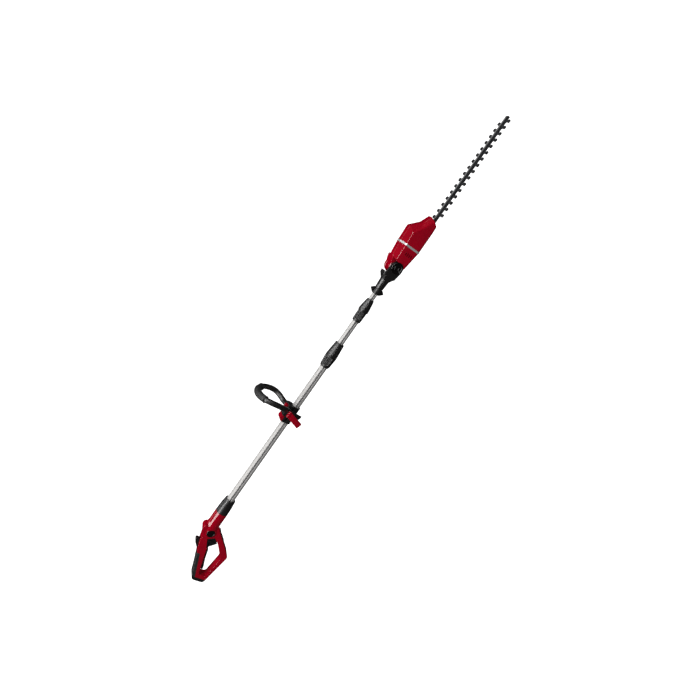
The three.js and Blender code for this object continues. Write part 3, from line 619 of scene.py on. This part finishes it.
def build_collar():
    low, high = span("tube_collar")
    profile = [
        (low.x, OUTER_BORE), (low.x, 22.9), (low.x + 0.6, 23.4), (-30, 22.8), (-12, 21.9),
        (-7, 20.9), (-5.5, 20.4), (-4.5, 20.5), (-3, 20.9), (4, 20.2), (7.2, 19.7),
        (high.x, 19.1), (high.x, 18.2), (7, 17.6), (3, 16.9), (2, OUTER_BORE),
    ]
    collar = turned("pole_collar", profile, 72)
    piece(collar, "root", SATIN, "black_plastic", "tube_collar")


# ------------------------------------------------------------------ pole


CHANNEL = 15  # degrees above level where each side's guide channel runs
# Degrees above level, depth, half width and squareness of the channel and the flute on each side.
GROOVES = [(CHANNEL, 1.3, 2.5, 8), (-27, 0.9, 1.3, 2)]
WALL = 1.5
SECTIONS = [("outer_tube", "root"), ("middle_tube", "middle_section"),
            ("inner_tube", "inner_section")]


def fluted(radius):
    """A tube's radius with a flat-bottomed guide channel and a rounded flute along each side."""
    def ripple(_, r, angle):
        if r < radius - 0.5:
            return r
        depth = 0.0
        for base, turn in ((math.pi, -1), (0, 1)):
            for elevation, deep, width, power in GROOVES:
                away = angle - base - turn * math.radians(elevation)
                away = (away + math.pi) % (2 * math.pi) - math.pi
                depth = max(depth, deep * math.exp(-abs(away * radius / width) ** power))
        return r - depth
    return ripple


def build_tubes():
    """The three tubes, each with a dark strip in its channels: painted shade standing in for the
    channels' shadow.
    """
    for node, body in SECTIONS:
        low, high = span(node)
        radius = (high.z - low.z) / 2
        bore = radius - WALL
        profile = [(low.x, bore), (low.x, radius - 0.3), (low.x + 0.4, radius),
                   (high.x - 0.4, radius), (high.x, radius - 0.3), (high.x, bore)]
        tube = turned(f"fluted_{node}", profile, 288, fluted(radius))
        piece(tube, body, ALUMINIUM, "pole_aluminium", node, crease=50)
        for side, turn in (("left", -1), ("right", 1)):
            # Each key is a dark grey strip laid in a channel: painted shade for the channel's
            # shadow, not a part of the tube.
            key = block(f"{side}_key_{node}", low.x + 1, high.x - 1, -2.2, 2.2,
                        radius - 1.2, radius - 0.45)
            key.data.transform(Matrix.Rotation(turn * math.radians(90 - CHANNEL), 4, "X"))
            piece(key, body, GREY, "grey_plastic")


RIB_FADE, FACET_FADE = 0.6, 3  # how far ribs and facets take to die away at their ends
RIB_LEAST, FACET_LEAST = 15, 12.8  # smaller radii belong to the bore
FACETS = 8
FACET_PHASE = math.radians(131.5)
FACET_DEPTH, FACET_GROOVE = 0.945, 0.7


def faded(along, start, end, seat):
    """1 between two places, falling to 0 at each."""
    return max(min(1, (along - start) / seat, (end - along) / seat), 0)


def ribs(count, depth, start, end):
    """Flat-topped ribs round a grip between two places along it, parted by narrow slots."""
    def ripple(along, radius, angle):
        if radius < RIB_LEAST or not start <= along <= end:
            return radius
        slot = (0.5 + 0.5 * math.cos(count * angle)) ** 2.2
        return radius - depth * slot * faded(along, start, end, RIB_FADE)
    return ripple


def facets(start, end):
    """Flat panels round a grip, fading into its round ends, with a groove beside each edge."""
    step = 2 * math.pi / FACETS

    def ripple(along, radius, angle):
        if radius < FACET_LEAST or not start <= along <= end:
            return radius
        away = (angle - FACET_PHASE + step / 2) % step - step / 2
        flat = min(radius, FACET_DEPTH * radius / math.cos(away))
        groove = FACET_GROOVE * math.exp(-((abs(away) - step * 0.42) * radius / 0.5) ** 2)
        return radius - (radius - flat + groove) * faded(along, start, end, FACET_FADE)
    return ripple


def lengthwise(profile, start, steps):
    """A profile with extra rows after one entry, so that ribs have rows to follow."""
    (x0, r0), (x1, r1) = profile[start], profile[start + 1]
    extra = [(x0 + (x1 - x0) * i / steps, r0 + (r1 - r0) * i / steps) for i in range(1, steps)]
    return profile[:start + 1] + extra + profile[start + 1:]


def build_rear_lock():
    body = [(592, OUTER_BORE), (592, 16.0), (592.8, 16.8), (598, 18.6), (601, 19.2),
            (634.5, 21.9), (636.2, 21.9), (636.9, 21.2), (636.9, 16.2), (634.3, 16.2),
            (634.3, OUTER_BORE)]
    ribbed = turned("rear_grip_body", lengthwise(body, 4, 20), 300, ribs(20, 2.2, 601, 634.5))
    piece(ribbed, "root", BLACK, "black_plastic", "rear_lock_body", crease=50)
    nut = [(637.3, 16.2), (637.3, 21.1), (638, 21.8), (642, 21.8), (684, 18.0), (690, 17.5),
           (692.4, 17.2), (693, 16.6), (693, 15.4), (688, 12.9), (682, 14.4), (670, 16.2)]
    panels = turned("rear_grip_nut", lengthwise(nut, 3, 16), 320, facets(642, 684))
    piece(panels, "rear_nut", BLACK, "black_plastic", "rear_lock_nut", crease=50)


def build_front_lock():
    body = [(791, 12.5), (791, 14.8), (791.8, 15.6), (797, 16.6), (800, 16.9), (831, 17.4),
            (833, 17.2), (833.8, 16.6), (833.8, 14.4), (831.3, 14.4), (831.3, 12.5)]
    ribbed = turned("front_grip_body", lengthwise(body, 4, 20), 300, ribs(18, 2.0, 800, 831))
    piece(ribbed, "middle_section", BLACK, "black_plastic", "front_lock_body", crease=50)
    nut = [(834.3, 14.4), (834.3, 18.9), (835, 19.7), (840, 19.8), (850, 19.0), (878, 14.9),
           (885.4, 13.4), (886, 12.9), (886, 12), (882, 11), (874, 12.7), (863, 14.4)]
    rows = lengthwise(lengthwise(nut, 4, 14), 3, 6)
    panels = turned("front_grip_nut", rows, 320, facets(840, 878))
    piece(panels, "front_nut", BLACK, "black_plastic", "front_lock_nut", crease=50)


# ------------------------------------------------------------------ loop handle

LOOP_HALF = [
    (392, 29, -31), (393, 30, -8), (397, 33, 16), (402, 38.5, 36), (408.5, 54, 53),
    (412, 65, 70), (413, 67.5, 88), (411.5, 65.5, 106), (409.5, 60, 121), (407, 52, 132),
    (403.5, 28, 147.5),
]
LOOP_APEX = (402, 0, 152)
LOOP_TOE = [(330, -14), (382, -16), (400, -26), (430, -70), (330, -70)]
SLEEVE_START = 9  # the entry of LOOP_HALF where the soft sleeve starts
BOLT_AT = (398, 0, 30)


def loop_path(half):
    """A smooth line through one half of the loop, its apex and the mirrored half."""
    far = [Vector(point) for point in half]
    near = [Vector((p.x, -p.y, p.z)) for p in reversed(far)]
    return curve_points([*far, Vector(LOOP_APEX), *near], 10)


def build_loop():
    loop = swept("front_loop", loop_path(LOOP_HALF), lambda t: (9.6, 9.7), 40)
    cut(loop, slab("toe", LOOP_TOE, -60, 60), rod("bore", 3.3, -80, 80, BOLT_AT))
    piece(loop, "loop", BLACK, "black_plastic", "loop_handle", crease=50)
    sleeve = swept("loop_sleeve", loop_path(LOOP_HALF[SLEEVE_START:]), sleeve_section, 48)
    piece(sleeve, "loop", SOFT, "soft_grip", "loop_grip", crease=50)


def sleeve_section(t):
    """Half sizes of the soft sleeve: rounded lips at its ends and a slight swell in the middle."""
    end = min(t, 1 - t)
    swell = 0.8 * math.sin(math.pi * t)
    lip = 1.0 * math.exp(-((end - 0.02) / 0.02) ** 2)
    taper = -2.4 * math.exp(-(end / 0.006) ** 2)
    return 12.2 + swell + lip + taper, 12.0 + swell + lip + taper


def build_clamp():
    """The clamp's black saddle with its red flag and tongue, and the clamp below the pole."""
    saddle = bevelled(copied("saddle_block", "clamp_saddle"), 1.0, 3, 30)
    for name, zone in (("saddle_flag", (300, 372, -16, 16, 21, 60)),
                       ("saddle_tongue", (397, 411, -7.0, 7.0, 26, 60))):
        part = cut(duplicate(saddle, name), block("zone", *zone), operation="INTERSECT")
        piece(bevelled(part, 0.8, 2, 40), "loop", RED, "red_plastic", crease=35)
    cut(saddle, block("flag_room", 300, 372.4, -40, 40, 20.6, 60),
        block("tongue_room", 396.6, 411.4, -7.4, 7.4, 25.6, 60),
        block("above", 372, 440, -40, 40, 31.5, 60))
    piece(saddle, "loop", BLACK, "black_plastic", "clamp_saddle", crease=35)
    hoop = bevelled(copied("clamp_shell", "lower_clamp"), 0.7, 3, 30)
    piece(hoop, "loop", BLACK, "black_plastic", "lower_clamp", crease=35)


LEVER_LEAN = 0.36  # radians that the lever's free end leans along the pole


def build_lever():
    """The cam lever: a square-ended bar with a raised panel, hung from its cross pin."""
    half, length, panel_end = 10.2, 62.0, -56.0
    bar = [(-half, 5, 2), (-half - 0.8, -length, 2.5), (half + 0.8, -length, 2.5), (half, 5, 2)]
    paddle = slab("quick_lever", rounded(bar, 2, 6), -4.5, 3, rim=1.4, segments=4)
    raised = [(-6.6, -14), (-7.2, panel_end), (7.2, panel_end), (6.6, -14)]
    cut(paddle, slab("panel", rounded(raised, 2, 6), -5.4, 0, rim=0.7), operation="UNION")
    paddle.data.transform(Matrix.Rotation(LEVER_LEAN, 4, "Y"))
    eye = rod("eye", 6.5, -half, half, (0, 0, 0), "x", 64, rim=0.8)
    cut(paddle, eye, operation="UNION")
    paddle.data.transform(Matrix.Translation((BOLT_AT[0], -55.5, BOLT_AT[2])))
    piece(paddle, "cam_lever", RED, "red_plastic", "cam_lever", crease=35)


# ------------------------------------------------------------------ neck and tilt joint


PIVOT_X = 1031.0
PIVOT = (PIVOT_X, 0, 0)
POLE_AXIS = (0, 0, 0)
BOLT_ROOM = 5.3
ARM_RADIUS, ARM_OUTSIDE, ARM_INSIDE = 24.2, -30, -18.3
NECK_UNDERSIDE = [(966, -14.5), (966, -50), (1024, -50), (1024, -24.5), (1012, -22.5)]


def octagon(x, y, z, corner):
    """A ring across the pole: a box of half sizes y and z with its corners cut."""
    return [(x, y, -z + corner), (x, y, z - corner), (x, y - corner, z), (x, -y + corner, z),
            (x, -y, z - corner), (x, -y, -z + corner), (x, -y + corner, -z), (x, y - corner, -z)]


def build_neck():
    """The neck with its arm beside the head."""
    shank = lofted("tilt_neck", [octagon(936.3, 12.5, 13.5, 5), octagon(972, 14, 15.5, 5),
                                 octagon(989, 26, 26.5, 8), octagon(1001, 28.5, 27.5, 8)])
    side = [(988, -26.5), (PIVOT_X, -ARM_RADIUS), (PIVOT_X, ARM_RADIUS), (988, 26.5)]
    cut(shank, slab("arm", side, ARM_OUTSIDE, ARM_INSIDE),
        rod("round_end", ARM_RADIUS, ARM_OUTSIDE, ARM_INSIDE, PIVOT, sides=96), operation="UNION")
    cut(shank, rod("knob_room", 21.9, -40, -22, PIVOT, sides=96),
        slab("underside", NECK_UNDERSIDE, -50, 50))
    modified(shank, "DECIMATE", decimate_type="DISSOLVE", angle_limit=math.radians(1))
    bevelled(shank, 1.2, 3, 22)
    for side in (-1, 1):
        rib = block("rib", 941, 987, side * 13 - 1.6, side * 13 + 1.6, 2, 6.2, rim=0.8)
        cut(shank, rib, operation="UNION")
    for i in range(3):
        cut(shank, block("slit", 948 + 9 * i, 952 + 9 * i, -6, 6, 11.5, 30))
    cut(shank, rod("pole_room", 10.7, 930, 962, POLE_AXIS, "x"),
        rod("lead_room", 6, 955, 1010, POLE_AXIS, "x"), rod("bolt_room", BOLT_ROOM, -40, 0, PIVOT))
    piece(shank, "inner_section", SATIN, "black_plastic", "neck", crease=30)


def notched(count, depth, sharpness, least):
    """Narrow notches round a rim, at radii above a least one."""
    def ripple(_, radius, angle):
        if radius <= least:
            return radius
        return radius - depth * (0.5 + 0.5 * math.cos(count * angle)) ** sharpness
    return ripple


def build_knob():
    """The tilt button, the wing collar and the detent ring."""
    steps = [(-25.2, 0), (-25.2, 21.4), (-29.4, 21.4), (-30.4, 20.4), (-30.4, 17.4),
             (-29.2, 16.2), (-28.6, 15.4), (-28.6, 9.2), (-29.2, 8.6), (-29.2, 7.2),
             (-28.6, 6.6), (-28.4, 0)]
    knob = turned("release_button", steps, 224, notched(28, 0.6, 4, 20), "y", PIVOT)
    piece(knob, "tilt_button", GLOSS, "black_plastic", "tilt_button", crease=40)
    collar = melted(copied("bow_collar", "wing_collar"), 0.45, 3)
    piece(collar, "wing_collar", BLACK, "black_plastic", "wing_collar", crease=50)
    ring = [(17.5, 20.2), (17.5, 27.2), (19, 28.7), (27.6, 28.7), (29, 27.4), (29, 20.2)]
    ratchet = turned("tilt_ratchet", ring, 240, notched(24, 0.5, 6, 28), "y", PIVOT)
    piece(ratchet, "head", RED, "red_plastic", "detent_ring", crease=35)


# ------------------------------------------------------------------ head


# Rings along the head: its floor, ridge and crown in X and Z, and its half width.
HEAD_RINGS = [
    ((1041, -25), (1055, 25), (1059, 38), 36.5),
    ((1117, -35), (1117, 28), (1117, 45), 38.5),
    ((1170, -35), (1165, 32.5), (1183, 48), 38.5),
    ((1206, -35), (1195, 13.5), (1222, 9.5), 38),
    ((1234, -35), (1243.5, -14), (1255, -3), 35),
]
CROWN_HALF, FLOOR_EDGE, RIDGE_EDGE, HEAD_WALL = 12.0, 6.0, 4.4, 3.0
BAND_REAR, BAND_FRONT, BAND_GAP = 1115.4, 1122.8, 0.3
ARM_FACE = -18.0
VENT_X, VENT_Z, VENT_HALF = (1084, 1099), (8, 0, -8, -16), 1.9
HEAD_SCREWS = [(1071, 26), (1071, -16), (1106, -27)]


def head_ring(floor, ridge, crown, half, wall, shift=0.0):
    """A ring of the head's skin, moved in by a wall and along by a shift."""
    y = half - wall
    inward = RIDGE_EDGE / (y - CROWN_HALF)
    side = [(floor[0] + shift, y - FLOOR_EDGE, floor[1] + wall),
            (floor[0] + shift, y, floor[1] + FLOOR_EDGE + wall / 2),
            (ridge[0] + shift, y, ridge[1] - wall / 2 - 0.36 * RIDGE_EDGE),
            (ridge[0] + shift + inward * (crown[0] - ridge[0]), y - RIDGE_EDGE,
             ridge[1] - wall / 2 + inward * (crown[1] - ridge[1])),
            (crown[0] + shift, CROWN_HALF - wall / 3, crown[1] - wall)]
    return side + [(x, -across, z) for x, across, z in reversed(side)]


def head_skin(name, wall=0.0, rim=2.6):
    """The head's whole skin, closed at both ends."""
    rings = [head_ring(*entry, wall) for entry in HEAD_RINGS]
    rings[0] = head_ring(*HEAD_RINGS[0], wall, shift=wall)
    rings[-1] = head_ring(*HEAD_RINGS[-1], wall, shift=-wall)
    skin = lofted(name, rings)
    return bevelled(skin, rim, 5, 9) if rim else skin


def head_zone(start, end):
    """Everything of the head between two places along it."""
    return block("zone", start, end, -60, 60, -60, 60)


def head_inside():
    return head_skin("inside", HEAD_WALL, 0)


def build_rear_head():
    """The two rear shells with the root that turns on the neck's arm."""
    outline = rounded([(1031, -26), (1031, 26), (1048, 33.5, 6), (1064, 37.5), (1064, -26.5)])
    root = bevelled(slab("root_block", outline, ARM_FACE, 30), 2.5, 4, 60)
    hub = rod("hub", 26.5, ARM_FACE, 30, PIVOT, sides=96, rim=2)
    rear = cut(head_skin("head_rear"), block("arm_side", 1000, 1059, -31, ARM_FACE, -60, 24))
    cut(rear, root, hub, operation="UNION")
    ring_room = cut(rod("ring_room", 29.1, 17.2, 31, PIVOT, sides=96),
                    rod("core", 19.7, 0, 40, PIVOT))
    cut(rear, head_zone(BAND_REAR - BAND_GAP, 1300), head_inside(),
        block("passage", 1048, 1070, -11, 11, -14, 22), rod("bolt_room", BOLT_ROOM, -40, 40, PIVOT),
        rod("arm_room", 28.5, -31, ARM_FACE, PIVOT, sides=96),
        rod("knob_room", 23.5, -60, -30.5, PIVOT, sides=96), ring_room)
    for z in VENT_Z:
        low, high = z - VENT_HALF, z + VENT_HALF
        vent = [(VENT_X[0], low), (VENT_X[1], low), (VENT_X[1], high), (VENT_X[0], high)]
        cut(rear, slab("vent", rounded(vent, 1.8), -60, 60))
    for x, z in HEAD_SCREWS:
        cut(rear, rod("well", SCREW_WELL, 34, 50, (x, 0, z)))
        screw(f"head_screw_{x}_{abs(z)}", x, z, 34.6, "head")
    halves(rear, ("left_head_shell", "right_head_shell"), ("head_shell_left", "head_shell_right"),
           "head", (900, 1300), 25)


def build_nose():
    """The nose cover and the bright band behind it."""
    nose = head_skin("nose_shell")
    cut(nose, head_zone(1000, BAND_FRONT + BAND_GAP), head_inside(),
        block("blade_slot", 1225, 1270, -21, 21, -31.9, -18.6))
    piece(nose, "head", RED, "red_plastic", "nose_cover", crease=25)
    band = head_skin("bright_band", -0.6)
    cut(band, head_inside(), head_zone(1000, BAND_REAR), head_zone(BAND_FRONT, 1300))
    piece(band, "head", SILVER, "silver_band", "silver_band", crease=25)


# ------------------------------------------------------------------ cutter bar


BLADE_PITCH, BLADE_TEETH, BLADE_FIRST, BLADE_STAGGER = 27.6, 16, 1279.0, -13.8
BLADE_SLOTS, SLOT_HALF_LENGTH, SLOT_HALF_WIDTH = (1293, 1417, 1541, 1665), 10.3, 3.4
SPINE, TOOTH_TIP = 10.5, 33.0
KNOB_X, KNOB_Y = 7.0, 7.4  # half sizes of a tooth's round head
DECK, RAIL_DROP, RAIL_HALF, PAINTED_HIGHLIGHT_DEPTH = 2.2, 1.6, 3.8, 1.2


def tooth_edge(side, first):
    """One edge of a blade: for each tooth a narrow neck and a round cutting head."""
    points = []
    neck = [(6.4, SPINE), (3.8, SPINE + 4), (3.6, TOOTH_TIP - 12.4)]
    for i in range(BLADE_TEETH):
        x = first + i * BLADE_PITCH
        points += [(x - half, side * out) for half, out in neck]
        for step in range(9):
            angle = math.radians(233 - 35.75 * step)
            out = TOOTH_TIP - KNOB_Y + KNOB_Y * math.sin(angle)
            points.append((x + KNOB_X * math.cos(angle), side * out))
        points += [(x + half, side * out) for half, out in reversed(neck)]
    return points


def bar_zone(y0, y1, z0, z1):
    """A block along the whole bar."""
    return block("zone", 1100, 1800, y0, y1, z0, z1)


def build_cutter_bar():
    """Two toothed blades under a dark bar whose rail has a paler top layer, a painted highlight for
    the rail's lit top face.
    """
    tail = [(1138, SPINE), (1138, -SPINE)]
    nose = [(1712, -11), (1715, -4), (1715, 8), (1707, SPINE)]
    near, far = tooth_edge(-1, BLADE_FIRST), tooth_edge(1, BLADE_FIRST + BLADE_STAGGER)
    plan = [*tail, *near, *nose, *reversed(far)]
    for node in ("upper_blade", "lower_blade"):
        low, high = span(node)
        blade = slab(f"ground_{node}", plan, low.z, high.z, axis="z")
        cut(blade, block("window", 1144, 1176, -10.5, 10.5, -60, 0))
        for x in BLADE_SLOTS:
            cut(blade, block("slot", x - SLOT_HALF_LENGTH, x + SLOT_HALF_LENGTH,
                             -SLOT_HALF_WIDTH, SLOT_HALF_WIDTH, -60, 0))
        piece(bevelled(blade, 0.5, 2, 50), node, BLADE, "blade_steel", node)
    low, high = span("guide_bar")
    deck, rail = low.z + DECK, high.z - RAIL_DROP
    bar = cut(copied("bar_deck", "guide_bar"), bar_zone(-30, 30, deck, 60))
    rib = cut(copied("rib", "guide_bar"), bar_zone(-30, -RAIL_HALF, -60, 60),
              bar_zone(RAIL_HALF, 30, -60, 60), bar_zone(-30, 30, -60, deck - 0.4),
              bar_zone(-30, 30, rail, 60))
    # The rail's top layer gets the paler steel as a painted highlight on its lit top face; the rest
    # of the rail stays dark.
    cap = cut(duplicate(rib, "bar_rail"), bar_zone(-30, 30, -60, rail - PAINTED_HIGHLIGHT_DEPTH))
    cut(rib, bar_zone(-30, 30, rail - PAINTED_HIGHLIGHT_DEPTH, 60))
    cut(bar, rib, operation="UNION")
    piece(bevelled(bar, 0.5, 2), "head", BLADE, "blade_steel", "guide_bar")
    piece(bevelled(cap, 0.4, 2), "head", PAINTED_HIGHLIGHT_STEEL, "blade_steel")


# ------------------------------------------------------------------ camera, floor and light

PICTURE, SENSOR = 700, 36  # the picture's width in pixels and the camera's in millimetres
CAMERA_FOOT = 1026.0  # where the view meets the pole squarely
CAMERA_REACH = 2.0
CAMERA_ABOVE = math.radians(26)
POLE_SLOPE = math.radians(54.9)  # the pole's angle in the picture
POLE_SCALE = 0.0036  # metres of pole to one of the picture's pixels
CENTRE_OFFSET = (43.3, 82.3)  # where the view axis lies right of and above the picture's middle
FLOOR_DROP = 0.6  # room for the cutter bar when the head is folded down
LIGHT_REACH = 2.6
KEY_ABOVE, RIM_ABOVE = math.radians(63), math.radians(60)


def build_camera():
    """A camera above the tool's near side, with the pole rising to the right."""
    data = bpy.data.cameras.new("camera")
    camera = bpy.data.objects.new("camera", data)
    bpy.context.scene.collection.objects.link(camera)
    toward = Vector((0, math.cos(CAMERA_ABOVE), -math.sin(CAMERA_ABOVE)))
    level_up = Vector((0, math.sin(CAMERA_ABOVE), math.cos(CAMERA_ABOVE)))
    along = Vector((1, 0, 0))
    right = along * math.cos(POLE_SLOPE) - level_up * math.sin(POLE_SLOPE)
    up = along * math.sin(POLE_SLOPE) + level_up * math.cos(POLE_SLOPE)
    target = ORIGIN + Vector((CAMERA_FOOT * MM, 0, 0))
    place = Matrix.Identity(4)
    for column, axis in enumerate((right, up, -toward, target - toward * CAMERA_REACH)):
        for row in range(3):
            place[row][column] = axis[row]
    camera.matrix_world = place
    data.sensor_width = SENSOR
    data.lens = SENSOR * (CAMERA_REACH / POLE_SCALE) / PICTURE
    data.shift_x = -CENTRE_OFFSET[0] / PICTURE
    data.shift_y = -CENTRE_OFFSET[1] / PICTURE
    data.clip_end = 100
    bpy.context.scene.camera = camera


def area_light(name, place, target, size, power):
    data = bpy.data.lights.new(name, "AREA")
    data.shape = "RECTANGLE"
    data.size, data.size_y = size
    data.energy = power
    light = bpy.data.objects.new(name, data)
    bpy.context.scene.collection.objects.link(light)
    light.location = place
    light.rotation_euler = (Vector(target) - Vector(place)).to_track_quat("-Z", "Y").to_euler()


def by_ray(tree, plain, seen, glossy):
    """A value with one level for light, one for what is seen and one for reflections."""
    path = tree.nodes.new("ShaderNodeLightPath")
    level = plain
    for output, value in (("Is Camera Ray", seen), ("Is Glossy Ray", glossy)):
        mix = tree.nodes.new("ShaderNodeMix")
        for socket, source in (("A", level), ("B", value)):
            if isinstance(source, float):
                mix.inputs[socket].default_value = source
            else:
                tree.links.new(source, mix.inputs[socket])
        tree.links.new(path.outputs[output], mix.inputs["Factor"])
        level = mix.outputs["Result"]
    return level


def sky(tree):
    """A reflected sky that is bright overhead and dark near the horizon."""
    place = tree.nodes.new("ShaderNodeTexCoord")
    split = tree.nodes.new("ShaderNodeSeparateXYZ")
    tree.links.new(place.outputs["Generated"], split.inputs["Vector"])
    ranger = tree.nodes.new("ShaderNodeMapRange")
    for socket, value in (("From Min", 0.42), ("From Max", 0.62), ("To Min", 0.0),
                          ("To Max", 0.09)):
        ranger.inputs[socket].default_value = value
    tree.links.new(split.outputs["Z"], ranger.inputs["Value"])
    return ranger.outputs["Result"]


def build_studio():
    """A pale floor, a bright surround and two long soft lights over the tool."""
    scene = bpy.context.scene
    scene.view_settings.view_transform = "Standard"
    level = CAD_BOX[0].z - FLOOR_DROP
    corners = [(x, y, level) for x, y in ((-30, -30), (30, -30), (30, 30), (-30, 30))]
    floor = mesh_object("floor", corners, [(0, 1, 2, 3)])
    material, tree, bsdf = shader("pale_floor", (0.9, 0.9, 0.9), 0.9, Specular_IOR_Level=0.0)
    tree.links.new(by_ray(tree, 0.5, 0.6, 0.03), bsdf.inputs["Base Color"])
    bsdf.inputs["Emission Color"].default_value = (1, 1, 1, 1)
    tree.links.new(by_ray(tree, 0.0, 0.95, 0.0), bsdf.inputs["Emission Strength"])
    floor.data.materials.append(material)
    world = bpy.data.worlds.new("studio")
    world.use_nodes = True
    tree = world.node_tree
    background = tree.nodes["Background"]
    tree.links.new(by_ray(tree, 0.36, 1.1, sky(tree)), background.inputs["Strength"])
    background.inputs["Color"].default_value = (1, 1, 1, 1)
    scene.world = world
    middle = ORIGIN + Vector((-0.2, 0, 0))
    key_way = Vector((0, -math.cos(KEY_ABOVE), math.sin(KEY_ABOVE)))
    area_light("key", middle + key_way * LIGHT_REACH, middle, (7.2, 0.34), 146)
    rim_way = Vector((0, math.cos(RIM_ABOVE), math.sin(RIM_ABOVE)))
    area_light("rim", middle + rim_way * LIGHT_REACH, middle, (7.2, 0.5), 26)


# ------------------------------------------------------------------ assembly

for build in (build_camera, build_studio, build_handle, build_insert, build_trigger,
              build_hub_discs, build_collar, build_tubes, build_rear_lock, build_front_lock,
              build_loop, build_clamp, build_lever, build_neck, build_knob, build_rear_head,
              build_nose, build_cutter_bar):
    build()

dress(BLACK, "main_switch", "battery_dock", "bolt_nut")
dress(GREY, "dock_contacts", "rear_lock_collet", "front_lock_collet", "clamp_liner",
      "gearbox_plate")
dress(STEEL, "trigger_pin", "lock_off_pin", "cross_bolt", "pivot_bolt", "motor", "motor_pinion",
      "crank_gear", "crank_shaft", "crank_bearing", "blade_bolt_1", "blade_bolt_2",
      "blade_bolt_3", "blade_bolt_4")
dress(JACKET, "coiled_lead")
dress(BOARD, "control_board")
